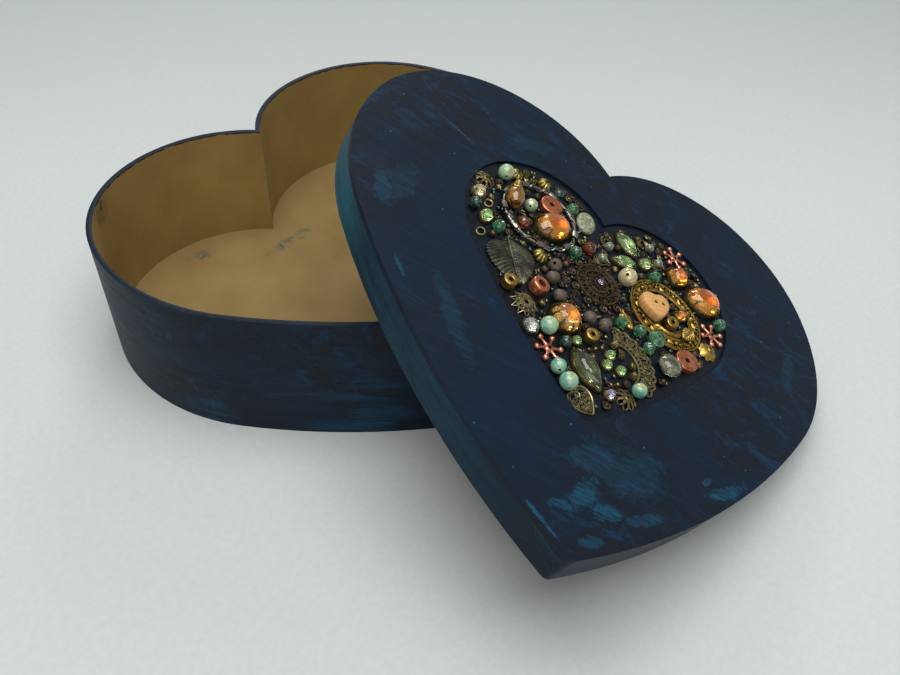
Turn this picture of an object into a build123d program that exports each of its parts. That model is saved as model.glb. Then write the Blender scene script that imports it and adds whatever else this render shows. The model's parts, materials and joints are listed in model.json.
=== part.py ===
"""Heart-shaped trinket box with a loose lid, which leans open against the base.

Millimetres, +Z up. The origin is on the table plane under the middle of the base,
between its two lobes. The base's tip points to -Y and its cleft to +Y. The lid and its
jewels are drawn on the lid's own plane, whose z = 0 is the open edge of the lid's rim.
"""

import os
from math import atan2, cos, degrees, radians, sin, sqrt

from build123d import *

os.makedirs("parts", exist_ok=True)

# A heart outline is a chain of side, lobe and shoulder arcs. The waist is where the side
# arc meets the lobe arc, and the crown is where the lobe arc meets the shoulder arc.
box_heart = dict(across=20.0, along=0.0, lobe=60.0, side=212.0, shoulder=44.6, waist=-31.1, crown=21.9)
inlay_heart = dict(across=13.0, along=-7.0, lobe=33.0, side=179.0, shoulder=25.4, waist=-35.0, crown=21.9)
tip_rounding = 2.5

# Board thicknesses and heights.
base_height = 45.5
wall = 1.0
wall_liner = 0.6
floor_board = 2.0
floor_card = 0.6
lid_height = 11.0
lid_clearance = 0.8
rim_strip = 1.6
lid_board = 1.6
lid_liner = 0.4
recess_depth = 1.2
backing_card = 0.2
glue_depth = 0.3

# The lid rests on the table, on the base's rim and over the base's tip.
lid_origin = (19.2, -91.1, 37.2)
lid_roll = 1.5
lid_pitch = 26.8
lid_heading = -61.4
lid_plane = Plane(Location(lid_origin, (lid_roll, lid_pitch, lid_heading), Extrinsic.XYZ))

recess_floor = lid_height - recess_depth
setting = lid_plane.offset(recess_floor + backing_card)
jewel_groups = []


def save(group, name):
    """Label a finished piece and write it as one STEP file."""
    group.part.label = name
    export_step(group.part, f"parts/{name}.step")


def heart_face(grow, heart=box_heart, size=1.0, rounding=tip_rounding):
    """A heart on the XY plane, its outline moved outward by grow."""
    across, along = size * heart["across"], size * heart["along"]
    lobe, side, shoulder = (size * heart[arc] for arc in ("lobe", "side", "shoulder"))
    waist, crown = radians(heart["waist"]), radians(heart["crown"])
    side_x, side_y = across + (lobe - side) * cos(waist), along + (lobe - side) * sin(waist)
    top_x, top_y = across + (lobe - shoulder) * cos(crown), along + (lobe - shoulder) * sin(crown)
    lobe, side, shoulder = lobe + grow, side + grow, shoulder + grow
    tip_angle = -degrees(atan2(sqrt(side**2 - side_x**2), -side_x))
    cleft_angle = degrees(atan2(sqrt(shoulder**2 - top_x**2), -top_x))
    with BuildSketch() as outline:
        with BuildLine():
            CenterArc((side_x, side_y), side, tip_angle, heart["waist"] - tip_angle)
            CenterArc((across, along), lobe, heart["waist"], heart["crown"] - heart["waist"])
            CenterArc((top_x, top_y), shoulder, heart["crown"], cleft_angle - heart["crown"])
            mirror(about=Plane.YZ)
        make_face()
        fillet(outline.vertices().sort_by(Axis.Y)[0], rounding)
    return outline.sketch


def heart_plate(plane, grow, height, heart=box_heart):
    """A solid heart of one thickness on a plane."""
    with BuildPart() as plate:
        with BuildSketch(plane):
            add(heart_face(grow, heart))
        extrude(amount=height)
    return plate.part


def heart_ring(plane, outer, inner, height):
    """A strip bent round the heart, between two outlines."""
    with BuildPart() as strip:
        with BuildSketch(plane):
            add(heart_face(outer))
            add(heart_face(inner), mode=Mode.SUBTRACT)
        extrude(amount=height)
    return strip.part


def at(x, y, height=0.0, turn=0.0):
    """A place on the inlay: across, along, above the card, and turned."""
    return Location((x, y, height), (0, 0, turn))


def scatter(name, shape, places):
    """Set a copy of one jewel at each place on the inlay."""
    with BuildPart(setting) as group:
        with Locations(*places):
            add(shape)
    jewel_groups.append(group.part)
    save(group, name)


# ---------------------------------------------------------------- base
inner_grow = -wall - wall_liner

with BuildPart() as base_floor:
    add(heart_plate(Plane.XY, -wall, floor_board))
save(base_floor, "base_floor")

with BuildPart() as base_wall:
    add(heart_ring(Plane.XY, 0, -wall, base_height))
save(base_wall, "base_wall")

with BuildPart() as base_liner:
    add(heart_ring(Plane.XY.offset(floor_board), -wall, inner_grow, base_height - floor_board))
save(base_liner, "base_wall_liner")

with BuildPart() as base_card:
    add(heart_plate(Plane.XY.offset(floor_board), inner_grow, floor_card))
save(base_card, "base_floor_card")

# ---------------------------------------------------------------- lid
rim_inner = lid_clearance
rim_outer = lid_clearance + rim_strip
board_bottom = lid_height - lid_board
liner_bottom = board_bottom - lid_liner

with BuildPart() as lid_top:
    add(heart_plate(lid_plane.offset(board_bottom), rim_outer, lid_board))
    add(
        heart_plate(lid_plane.offset(recess_floor), 0, recess_depth, inlay_heart),
        mode=Mode.SUBTRACT,
    )
save(lid_top, "lid_top")

with BuildPart() as lid_rim:
    add(heart_ring(lid_plane, rim_outer, rim_inner, board_bottom))
save(lid_rim, "lid_rim")

with BuildPart() as lid_lining:
    add(heart_plate(lid_plane.offset(liner_bottom), rim_inner, lid_liner))
save(lid_lining, "lid_liner")

with BuildPart() as inlay_card:
    add(heart_plate(lid_plane.offset(recess_floor), 0, backing_card, inlay_heart))
save(inlay_card, "inlay_card")


# ---------------------------------------------------------------- jewel shapes
def bead(radius):
    """A round bead standing on the card."""
    with BuildPart() as shape:
        with Locations((0, 0, radius)):
            Sphere(radius)
    return shape.part


def cut_bead(radius, height):
    """A faceted rondelle, as two cones foot to foot."""
    half = height / 2
    with BuildPart() as shape:
        with Locations((0, 0, half / 2)):
            Cone(radius * 0.55, radius, half)
        with Locations((0, 0, half * 1.5)):
            Cone(radius, radius * 0.55, half)
    return shape.part


def ribbed_cap(radius, height, hole):
    """A domed bead cap with a hole through its crown."""
    with BuildPart() as shape:
        with Locations((0, 0, height / 2)):
            Cone(radius, radius * 0.5, height)
        with Locations((0, 0, height / 2)):
            Cylinder(hole, height, mode=Mode.SUBTRACT)
    return shape.part


def ring_bead(radius, hole, height):
    """A washer or a short tube bead, lying flat."""
    with BuildPart() as shape:
        with Locations((0, 0, height / 2)):
            Cylinder(radius, height)
            Cylinder(hole, height, mode=Mode.SUBTRACT)
    return shape.part


def flower_cap(radius, petals, height):
    """A flat filigree flower: a disc with a ring of petal windows."""
    with BuildPart() as shape:
        with BuildSketch():
            Circle(radius)
            Circle(radius * 0.16, mode=Mode.SUBTRACT)
            with PolarLocations(radius * 0.6, petals):
                Circle(radius * 0.15, mode=Mode.SUBTRACT)
        extrude(amount=height)
    return shape.part


def star_spacer(reach, ball, thickness):
    """A six-armed spacer with a ball at the end of each arm."""
    with BuildPart() as shape:
        with Locations((0, 0, ball)):
            Cylinder(reach * 0.34, thickness)
            with PolarLocations(reach * 0.5, 6):
                Box(reach, thickness, thickness)
            Cylinder(reach * 0.14, thickness, mode=Mode.SUBTRACT)
            with PolarLocations(reach, 6):
                Sphere(ball)
    return shape.part


def pillow(length, width, collar=0.0):
    """A cut stone's plan: an oval."""
    with BuildSketch() as plan:
        Ellipse(length / 2 + collar, width / 2 + collar)
    return plan.sketch


def square_cut(side, corner, collar=0.0):
    """A cut stone's plan: a square with round corners."""
    with BuildSketch() as plan:
        RectangleRounded(side + 2 * collar, side + 2 * collar, corner + collar)
    return plan.sketch


def navette(length, width, collar=0.0):
    """A cut stone's plan: two arcs that meet in points."""
    half_length, half_width = length / 2 + 1.6 * collar, width / 2 + collar
    with BuildSketch() as plan:
        with BuildLine():
            ThreePointArc((-half_length, 0), (0, half_width), (half_length, 0))
            ThreePointArc((half_length, 0), (0, -half_width), (-half_length, 0))
        make_face()
    return plan.sketch


def stone_setting(plan, rim, height):
    """A metal cup that follows the stone's plan and holds its lower half."""
    with BuildPart() as shape:
        with BuildSketch():
            add(rim)
        extrude(amount=height)
        with BuildSketch(Plane.XY.offset(height / 2)):
            add(plan)
        extrude(amount=height / 2, mode=Mode.SUBTRACT)
    return shape.part


def stone(plan, foot, crown, top):
    """A stone that stands in its setting: straight up to its crown, then in to its table."""
    table = scale(plan, by=0.7, mode=Mode.PRIVATE)
    with BuildPart() as shape:
        with BuildSketch(Plane.XY.offset(foot)):
            add(plan)
        extrude(amount=crown - foot)
        with BuildSketch(Plane.XY.offset(crown)):
            add(plan)
        with BuildSketch(Plane.XY.offset(top)):
            add(table)
        loft()
    return shape.part


def set_stones(settings_name, stones_name, rows, collar=0.5):
    """Settings and stones of one kind: rows of cut, its size, setting height, stone height, place."""
    with BuildPart(setting) as settings:
        for cut, size, cup, tall, place in rows:
            with Locations(place):
                add(stone_setting(cut(*size), cut(*size, collar=collar), cup))
    with BuildPart(setting) as stones:
        for cut, size, cup, tall, place in rows:
            with Locations(place):
                add(stone(cut(*size), cup / 2, (cup + tall) / 2, tall))
    jewel_groups.extend([settings.part, stones.part])
    save(settings, settings_name)
    save(stones, stones_name)


def wire_ring(radius, wire, knots):
    """A ring of wire with small wrapped knots along it."""
    with BuildPart() as shape:
        with Locations((0, 0, wire)):
            Torus(radius, wire / 2)
            with PolarLocations(radius, knots):
                Sphere(wire * 0.8)
    return shape.part


def leaf(length, width, thickness):
    """A flat leaf with its stem at the origin, pointing to -Y."""
    with BuildPart() as shape:
        with BuildSketch():
            with BuildLine():
                Spline(
                    (0, 0),
                    (width / 2, -length * 0.3),
                    (0, -length),
                    tangents=((1, 0), (-0.6, -1)),
                )
                mirror(about=Plane.YZ)
            make_face()
        extrude(amount=thickness)
        with Locations((0, -length * 0.45, thickness)):
            Box(0.7, length * 0.9, 0.8)
    return shape.part


def bar_row(span, count, ball):
    """A straight row of dots on a thin bar."""
    with BuildPart() as shape:
        with Locations((0, 0, ball)):
            Box(span, ball, ball)
            with GridLocations(span / (count - 1), 1, count, 1):
                Sphere(ball)
    return shape.part


# ---------------------------------------------------------------- beads
scatter("amazonite_beads", bead(2.5), [at(-36.1, 7.8), at(-14.6, -43.4), at(-6.9, -58.4)])
scatter("small_amazonite_beads", bead(2.1), [at(-10.1, -54.9), at(14.6, -48.9)])
scatter("green_pearl", bead(2.0), [at(-26.0, 0.1)])
scatter("gold_pearl", bead(2.8), [at(8.3, -8.6)])
scatter(
    "green_crystals",
    cut_bead(2.0, 3.4),
    [
        at(-12.2, 9.4), at(-34.1, -15.7), at(-9.2, -9.0), at(8.0, -27.2), at(18.7, -0.4),
        at(43.1, -5.4), at(14.2, -26.4), at(17.4, -31.4),
    ],
)
scatter("large_green_crystal", cut_bead(2.7, 4.4), [at(19.4, -27.0)])
scatter("dark_crystals", cut_bead(1.9, 3.2), [at(-42.5, -11.2), at(-17.6, 12.8), at(-8.7, -45.1)])
scatter("brown_crystals", cut_bead(2.1, 3.4), [at(-27.2, -8.6), at(-4.8, -3.8)])
scatter("honey_bead", cut_bead(3.0, 5.6), [at(-31.8, -1.4)])
scatter("honey_bead_cap", ribbed_cap(1.9, 3.0, 0.4), [at(-32.0, 3.4, 1.9)])
scatter("grey_nugget", cut_bead(3.9, 4.6), [at(24.4, -34.2)])
scatter(
    "dark_wood_beads",
    cut_bead(2.0, 3.6),
    [at(-12.4, -30.0), at(-2.4, -32.0), at(2.6, -31.8), at(-15.4, -24.4), at(-15.2, -19.2)],
)
scatter("scroll_pearls", bead(1.4), [at(1.9, 2.2), at(0.0, -4.6), at(16.6, 12.2), at(20.0, 7.2)])

# ---------------------------------------------------------------- metal bits
scatter("melon_caps", ribbed_cap(2.6, 2.6, 0.5), [at(-32.4, 11.4), at(-22.6, 14.4), at(-19.8, -17.6)])
scatter("brass_daisy_cap", ribbed_cap(3.4, 2.4, 0.6), [at(38.7, -18.9)])
scatter("flower_caps", flower_cap(2.8, 8, 1.0), [at(-41.4, 1.8), at(11.4, -52.9)])
scatter("copper_washers", ring_bead(3.6, 0.8, 2.4), [at(-19.4, 5.4), at(30.4, -28.4)])
scatter("copper_tube", ring_bead(2.7, 1.2, 3.4), [at(-19.0, -30.6)])
scatter(
    "copper_stars",
    star_spacer(3.7, 0.95, 1.3),
    [at(26.4, 14.6), at(40.2, -11.4, 0, 30), at(-13.0, -49.6, 0, 22)],
)
scatter(
    "brass_tube_beads",
    ring_bead(2.0, 0.6, 3.4),
    [at(-27.8, -35.0), at(-1.5, -38.8), at(24.6, -17.2)],
)
scatter("star_cap", flower_cap(4.4, 10, 1.4), [at(-21.7, -38.4)])
scatter("leaf_charm", leaf(16.5, 15.0, 0.8), [at(-30.6, -18.6, 0.4, 22)])
scatter("gold_leaf", leaf(6.0, 4.2, 0.7), [at(32.0, -15.6, 1.72, -30), at(8.4, -22.0, 0.3, 42)])
scatter("wire_ring", wire_ring(12.2, 1.2, 9), [at(-22.6, -1.6)])
scatter("link_rings", ring_bead(1.5, 0.8, 0.9), [at(-38.6, -20.4), at(-38.4, -7.4), at(10.9, -4.6)])
scatter("bud_beads", bead(1.3), [at(6.4, -36.4), at(9.4, -38.9), at(12.8, -40.8), at(13.2, -44.2)])
scatter("bead_bars", bar_row(5.0, 3, 0.6), [at(0.9, -41.0, 0, 38), at(8.6, -49.4, 0, 32)])

with BuildPart() as rosette_shape:
    Cylinder(7.6, 1.0, align=(Align.CENTER, Align.CENTER, Align.MIN))
    with Locations((0, 0, 1.0)):
        Cylinder(4.6, 0.8, align=(Align.CENTER, Align.CENTER, Align.MIN))
        with PolarLocations(6.2, 16):
            Sphere(0.7)
    with PolarLocations(8.6, 10):
        Cylinder(1.2, 0.8, align=(Align.CENTER, Align.CENTER, Align.MIN))
scatter("rosette_medallion", rosette_shape.part, [at(-0.4, -16.4, 0.2)])
scatter("rosette_stone", ring_bead(1.0, 0.1, 0.9), [at(-0.4, -16.4, 2.0)])

with BuildPart() as frame_shape:
    with BuildSketch():
        Ellipse(12.6, 11.6)
        Ellipse(9.0, 8.2, mode=Mode.SUBTRACT)
    extrude(amount=0.9)
    with Locations((0, 0, 0.9)):
        with PolarLocations(10.3, 28):
            Sphere(0.5)
scatter("oval_frame", frame_shape.part, [at(23.4, -13.4, 0.3, -35)])

with BuildPart() as scroll_shape:
    Torus(2.2, 0.4)
scatter(
    "scroll_filigree",
    scroll_shape.part,
    [
        at(1.0, 7.0, 0.4), at(12.4, 14.4, 0.4), at(0.0, -4.6, 0.4), at(1.9, 2.2, 0.4),
        at(16.6, 12.2, 0.4), at(20.0, 7.2, 0.4),
    ],
)

with BuildPart() as fan_shape:
    with BuildSketch():
        with BuildLine():
            outer_edge = CenterArc((0, 0), 12.0, -35, 140)
            inner_edge = CenterArc((0, 0), 6.8, -35, 140)
            Line(outer_edge @ 0, inner_edge @ 0)
            Line(outer_edge @ 1, inner_edge @ 1)
        make_face()
        for angle in range(-25, 101, 18):
            with PolarLocations(9.4, 1, start_angle=angle):
                Circle(0.9, mode=Mode.SUBTRACT)
    extrude(amount=0.8)
scatter("filigree_fan", fan_shape.part, [at(8.5, -41.5)])

with BuildPart() as charm_shape:
    with BuildSketch():
        add(heart_face(0, size=0.052, rounding=0.4))
    extrude(amount=1.0)
scatter("heart_charm", charm_shape.part, [at(-2.2, -60.0, 0, 55)])

with BuildPart() as button_shape:
    with BuildSketch():
        add(heart_face(0, size=0.062, rounding=1.8))
        with Locations((-0.9, 0.3), (1.7, 0.1)):
            Circle(0.55, mode=Mode.SUBTRACT)
    extrude(amount=3.4)
scatter("wooden_heart_button", button_shape.part, [at(17.4, -14.4, 1.68, 18)])

with BuildPart() as disc_shape:
    with BuildSketch():
        Ellipse(3.3, 4.6)
    extrude(amount=2.0)
scatter("carved_disc", disc_shape.part, [at(-6.6, 7.6)])

# ---------------------------------------------------------------- cut stones
set_stones(
    "amber_settings",
    "amber_stones",
    [
        (pillow, (12.0, 9.2), 2.2, 4.6, at(-17.8, -3.9, 0.3, 38)),
        (pillow, (12.2, 9.6), 2.2, 5.0, at(36.8, 0.4, 0, 8)),
        (square_cut, (6.0, 1.2), 2.0, 4.2, at(27.2, 5.4, 0, 32)),
        (square_cut, (3.2, 0.7), 1.6, 3.0, at(28.6, -10.8, 0, 40)),
    ],
)
set_stones("amber_round_setting", "amber_round_stone", [(pillow, (8.8, 8.8), 2.4, 5.0, at(-9.7, -36.9))])
set_stones(
    "peridot_settings",
    "peridot_stones",
    [
        (pillow, (5.0, 3.8), 1.6, 2.8, at(-38.4, -13.8, 0, 80)),
        (pillow, (2.6, 2.6), 1.4, 2.4, at(-5.2, -42.0)),
        (pillow, (2.9, 2.9), 1.4, 2.6, at(5.4, -41.0)),
        (pillow, (2.9, 2.9), 1.4, 2.6, at(4.6, -45.0)),
        (pillow, (2.9, 2.9), 1.4, 2.6, at(9.0, -44.6)),
        (pillow, (4.4, 3.8), 1.6, 3.0, at(15.1, 3.4, 0, 70)),
    ],
)
set_stones(
    "navette_settings",
    "navette_stones",
    [
        (navette, (9.6, 5.0), 1.6, 3.2, at(8.2, 7.6, 0, -40)),
        (navette, (8.4, 4.2), 1.6, 3.0, at(7.6, -1.0, 0, 12)),
    ],
    collar=0.4,
)
set_stones(
    "large_navette_setting",
    "large_navette_stone",
    [(navette, (13.2, 6.8), 1.6, 3.8, at(-1.5, -50.2, 0, -46))],
)
set_stones("champagne_cup", "champagne_rhinestone", [(pillow, (4.2, 4.2), 1.8, 3.4, at(-42.4, -5.8))])
set_stones("clear_cup", "clear_rhinestone", [(pillow, (4.4, 4.4), 1.8, 3.2, at(-19.3, -45.6))])
set_stones("lavender_cup", "lavender_rhinestone", [(pillow, (3.0, 3.0), 1.4, 2.6, at(6.2, -54.6))])

# ---------------------------------------------------------------- glue bed
with BuildPart() as glue_bed:
    add(heart_plate(setting, 0, glue_depth, inlay_heart))
    for jewels in jewel_groups:
        add(jewels, mode=Mode.SUBTRACT)
save(glue_bed, "glue_bed")
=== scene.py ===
import json
import random
from math import asin, atan2, cos, pi, radians, sin, sqrt

import bmesh
import bpy
from mathutils import Euler, Matrix, Vector, noise
from mathutils.bvhtree import BVHTree

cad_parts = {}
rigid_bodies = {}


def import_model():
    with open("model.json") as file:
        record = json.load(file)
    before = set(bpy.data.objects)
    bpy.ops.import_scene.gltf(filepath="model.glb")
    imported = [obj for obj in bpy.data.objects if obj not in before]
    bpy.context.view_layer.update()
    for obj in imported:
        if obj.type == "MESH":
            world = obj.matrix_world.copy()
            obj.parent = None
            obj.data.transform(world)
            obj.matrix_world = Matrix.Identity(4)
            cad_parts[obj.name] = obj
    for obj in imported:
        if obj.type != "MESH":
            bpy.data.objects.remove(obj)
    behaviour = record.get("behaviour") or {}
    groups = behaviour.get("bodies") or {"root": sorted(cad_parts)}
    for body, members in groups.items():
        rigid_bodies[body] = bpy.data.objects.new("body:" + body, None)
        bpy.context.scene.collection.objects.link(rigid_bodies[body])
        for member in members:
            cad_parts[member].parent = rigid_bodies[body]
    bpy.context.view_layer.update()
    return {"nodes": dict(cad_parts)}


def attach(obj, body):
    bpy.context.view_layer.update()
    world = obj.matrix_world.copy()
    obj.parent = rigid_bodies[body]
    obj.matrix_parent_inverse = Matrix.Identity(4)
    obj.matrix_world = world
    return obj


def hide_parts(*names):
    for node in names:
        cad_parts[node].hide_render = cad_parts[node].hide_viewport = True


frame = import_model()

TAU = 2 * pi
MM = 0.001
UP = Vector((0, 0, 1))
dice = random.Random(11)

# The lid's own frame in millimetres: x across, y from the tip to the cleft, z out of its top.
LID_ORIGIN = (19.2, -91.1, 37.2)
LID_ANGLES = Euler((radians(1.5), radians(26.8), radians(-61.4)), "XYZ")
LID = Matrix.LocRotScale(Vector(LID_ORIGIN) * MM, LID_ANGLES, Vector((MM, MM, MM)))
TO_LID = LID.inverted()
CARD = 10.0  # the inlay card's top, where the jewels stand
GLUE = CARD + 0.3  # the glue's top, between the jewels


# ---------------------------------------------------------------- materials
def srgb(red, green, blue):
    """A colour from its usual 0 to 255 values."""
    shares = (red / 255, green / 255, blue / 255)
    return tuple(c / 12.92 if c < 10 / 255 else ((c + 0.055) / 1.055) ** 2.4 for c in shares) + (1.0,)


class Finish:
    """A procedural material, built node by node, in millimetres on the lid or in the box's own frame."""

    def __init__(self, name, on_lid=True, **sockets):
        self.material = bpy.data.materials.new(name)
        self.material.use_nodes = True
        self.tree = self.material.node_tree
        self.shader = self.tree.nodes["Principled BSDF"]
        self.set(**sockets)
        coordinates = self.tree.nodes.new("ShaderNodeTexCoord")
        place = self.tree.nodes.new("ShaderNodeMapping")
        place.vector_type = "TEXTURE"
        place.inputs["Scale"].default_value = (MM, MM, MM)
        if on_lid:
            place.inputs["Location"].default_value = Vector(LID_ORIGIN) * MM
            place.inputs["Rotation"].default_value = LID_ANGLES
        self.tree.links.new(coordinates.outputs["Object"], place.inputs["Vector"])
        self.space = place.outputs["Vector"]

    def set(self, **sockets):
        for name, value in sockets.items():
            self.plug(self.shader.inputs[name.replace("_", " ")], value)

    def plug(self, socket, value):
        if isinstance(value, bpy.types.NodeSocket):
            self.tree.links.new(value, socket)
        else:
            socket.default_value = value

    def node(self, kind, inputs, output=0, **settings):
        made = self.tree.nodes.new("ShaderNode" + kind)
        for name, value in settings.items():
            setattr(made, name, value)
        for name, value in inputs.items():
            self.plug(made.inputs[name], value)
        return made.outputs[output]

    def stretch(self, scale, turn=(0, 0, 0)):
        return self.node("Mapping", {"Vector": self.space, "Scale": scale, "Rotation": turn})

    def noise(self, scale, detail=4.0, rough=0.55, distort=0.0, space=None):
        inputs = {"Vector": space or self.space, "Scale": scale, "Detail": detail, "Roughness": rough}
        return self.node("TexNoise", {**inputs, "Distortion": distort})

    def cells(self, scale):
        return self.node("TexVoronoi", {"Vector": self.space, "Scale": scale}, "Distance")

    def ramp(self, value, *stops):
        """A colour ramp from (position, colour) stops."""
        made = self.tree.nodes.new("ShaderNodeValToRGB")
        while len(made.color_ramp.elements) < len(stops):
            made.color_ramp.elements.new(0.5)
        for element, (where, colour) in zip(made.color_ramp.elements, stops):
            element.position = where
            element.color = colour
        self.plug(made.inputs["Fac"], value)
        return made.outputs["Color"]

    def mix(self, share, first, second):
        made = self.tree.nodes.new("ShaderNodeMix")
        made.data_type = "RGBA"
        for name, value in (("Factor_Float", share), ("A_Color", first), ("B_Color", second)):
            socket = next(s for s in made.inputs if s.identifier == name)
            self.plug(socket, value)
        return next(s for s in made.outputs if s.identifier == "Result_Color")

    def math(self, operation, first, second):
        return self.node("Math", {0: first, 1: second}, operation=operation)

    def both(self, first, second):
        """One mask times another, or times a strength."""
        return self.math("MULTIPLY", first, second)

    def most(self, first, second):
        """The stronger of two masks."""
        return self.math("MAXIMUM", first, second)

    def away(self, centre, radii, turn):
        """0 at the middle of a turned ellipsoid and 1 on its surface."""
        inputs = {"Vector": self.space, "Location": centre, "Rotation": (0, 0, turn), "Scale": radii}
        unit = self.node("Mapping", inputs, vector_type="TEXTURE")
        return self.node("VectorMath", {0: unit}, "Value", operation="LENGTH")

    def within(self, centre, radii, soft=1.0, turn=0.0):
        """1 inside an ellipsoid and 0 outside, over a soft edge."""
        return self.range(self.away(centre, radii, turn), 1 - soft, 1.0, 1.0, 0.0)

    def dab(self, centre, radii, turn, ragged, share):
        """One dry-brush dab: ragged edges, with bristle marks along it."""
        edge = self.math("ADD", self.away(centre, radii, turn), self.both(ragged, 2.2))
        inside = self.range(edge, 1.6, 1.85, 1.0, 0.0)
        bristle = self.noise(1.0, 5.0, 0.75, 0.5, self.stretch((0.16, 1.9, 0.6), (0, 0, -turn)))
        return self.both(inside, self.range(bristle, 0.4, 0.58, 0.2 * share, share))

    def range(self, value, low, high, to_low=0.0, to_high=1.0):
        inputs = {"Value": value, "From Min": low, "From Max": high, "To Min": to_low, "To Max": to_high}
        return self.node("MapRange", inputs)

    def axis(self, name):
        return self.node("SeparateXYZ", {0: self.space}, name)

    def recess(self, distance=0.9):
        """1 in the open and lower in the hollows."""
        return self.node("AmbientOcclusion", {"Distance": distance * MM}, "AO", samples=6)

    def bump(self, height, depth, strength=1.0):
        made = self.node("Bump", {"Height": height, "Distance": depth * MM, "Strength": strength})
        self.set(Normal=made)


def painted(name, on_lid, strokes_turn):
    """Navy paint over card: brushed, with faint teal strokes and a few violet-brown patches."""
    paint = Finish(name, on_lid, Specular_IOR_Level=0.16)
    broad = paint.noise(0.03, 4.0, 0.6)
    navy = paint.ramp(
        broad, (0.34, srgb(8, 27, 48)), (0.5, srgb(11, 24, 39)),
        (0.62, srgb(17, 22, 32)), (0.75, srgb(9, 28, 47)),
    )
    bristles = paint.noise(1.0, 6.0, 0.7, 0.5, paint.stretch((0.06, 0.8, 0.5), (0, 0, strokes_turn)))
    colour = paint.mix(paint.range(bristles, 0.5, 0.8, 0.0, 0.3), navy, srgb(20, 42, 62))
    crossed = paint.noise(1.0, 8.0, 0.75, 0.8, paint.stretch((0.09, 0.2, 0.2), (0, 0, strokes_turn + 0.8)))
    patches = paint.range(paint.noise(0.026, 3.0, 0.5, 0.3), 0.42, 0.58)
    faint = paint.both(paint.range(crossed, 0.52, 0.7), patches)
    colour = paint.mix(paint.both(faint, 0.8), colour, srgb(13, 53, 86))
    return paint, colour, bristles, crossed


TEAL = srgb(20, 78, 104)
# Dry-brush dabs on the lid: centre, reach along and across, turn, and strength.
LID_DABS = (
    ((-9.0, -98.6, 11), (9.5, 0.8, 9), -0.58, 1.0),
    ((1.2, -87.6, 11), (8.5, 4.0, 9), 1.05, 0.8),
    ((-4.0, -92.8, 11), (6.0, 1.8, 9), 0.2, 0.7),
    ((8.0, -89.4, 11), (6.4, 3.0, 9), 0.36, 1.0),
    ((19.0, -86.0, 11), (11, 2.4, 9), 0.5, 0.5),
    ((43.0, -66.8, 11), (10.5, 2.6, 9), 0.6, 0.85),
    ((37.0, -66.4, 11), (3.4, 1.2, 9), 0.9, 0.7),
    ((4.2, -98.8, 11), (5.0, 2.2, 9), 0.43, 0.5),
    ((3.0, -77.0, 11), (10, 6, 9), 0.4, 0.35),
    ((14.0, -76.0, 11), (16, 9, 9), 0.5, 0.3),
    ((-57.4, -47.8, 11), (5.4, 0.9, 9), -0.94, 0.75),
    ((-68.4, -24.0, 11), (10, 4, 9), -1.18, 0.45),
    ((-64.0, -19.0, 11), (14, 6, 9), 1.35, 0.25),
    ((-40.0, -56.0, 11), (20, 4, 9), -1.0, 0.3),
    ((-84.0, 6.0, 11), (16, 4, 9), 1.1, 0.35),
    ((-30.0, 30.0, 11), (14, 5, 9), 0.5, 0.25),
    ((70.0, -8.0, 11), (14, 3.0, 9), 1.4, 0.25),
)


def lid_paint():
    """The lid's paint: its dabs, and teal rubbed thin along its left side."""
    paint, colour, bristles, crossed = painted("lid_paint", True, 0.5)
    ragged = paint.noise(0.3, 8.0, 0.8, 0.5)
    total = None
    for centre, radii, turn, share in LID_DABS:
        mask = paint.dab(centre, radii, turn, ragged, share)
        total = mask if total is None else paint.most(total, mask)
    colour = paint.mix(paint.both(total, 0.85), colour, TEAL)
    scratch = paint.within((-53.4, 16.8, 11), (8.0, 0.3, 6), 0.6, -0.39)
    colour = paint.mix(paint.both(scratch, 0.35), colour, srgb(88, 104, 114))
    # Painted highlights: small pale flecks that stand in for glints on the paint.
    painted_glints = paint.range(paint.cells(0.16), 0.035, 0.05, 0.5, 0.0)
    colour = paint.mix(painted_glints, colour, srgb(96, 110, 120))
    paint.set(Base_Color=colour, Roughness=paint.range(bristles, 0.3, 0.75, 0.42, 0.6))
    paint.bump(paint.math("ADD", bristles, paint.both(crossed, 0.8)), 0.14, 0.8)
    return paint.material


def skirt_paint():
    """The lid's skirt: teal-green on its left lobe, and rubbed lighter here and there."""
    paint, colour, bristles, _ = painted("skirt_paint", True, 0.0)
    along = paint.noise(1.0, 6.0, 0.7, 0.4, paint.stretch((0.06, 0.06, 0.5)))
    lobe = paint.within((-80, -22, 5), (26, 40, 20), 0.7)
    total = paint.both(lobe, paint.range(along, 0.3, 0.62, 0.35, 1.0))
    flank = paint.within((-62, -66, 5), (70, 60, 20), 0.5)
    total = paint.most(total, paint.both(flank, paint.range(along, 0.36, 0.66, 0.05, 0.4)))
    total = paint.most(total, paint.range(along, 0.55, 0.74, 0.0, 0.6))
    colour = paint.mix(total, colour, srgb(26, 80, 96))
    paint.set(Base_Color=colour, Roughness=paint.range(along, 0.3, 0.75, 0.42, 0.6))
    paint.bump(paint.math("ADD", along, bristles), 0.12, 0.8)
    return paint.material


def base_paint():
    """The base's outside: level brush strokes, more teal towards the foot."""
    paint, colour, bristles, _ = painted("base_paint", False, 0.0)
    sweep = paint.noise(1.0, 7.0, 0.75, 0.3, paint.stretch((0.03, 0.03, 0.34)))
    blocks = paint.range(paint.noise(1.0, 2.0, 0.4, 0.0, paint.stretch((0.05, 0.05, 0.09))), 0.44, 0.6)
    low = paint.range(paint.axis("Z"), 0, 42, 1.0, 0.15)
    total = paint.both(paint.both(paint.range(sweep, 0.46, 0.66), low), blocks)
    colour = paint.mix(paint.both(total, 0.8), colour, srgb(20, 70, 98))
    paint.set(Base_Color=colour, Roughness=paint.range(sweep, 0.3, 0.75, 0.42, 0.62))
    paint.bump(paint.math("ADD", sweep, bristles), 0.14, 0.8)
    return paint.material


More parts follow.
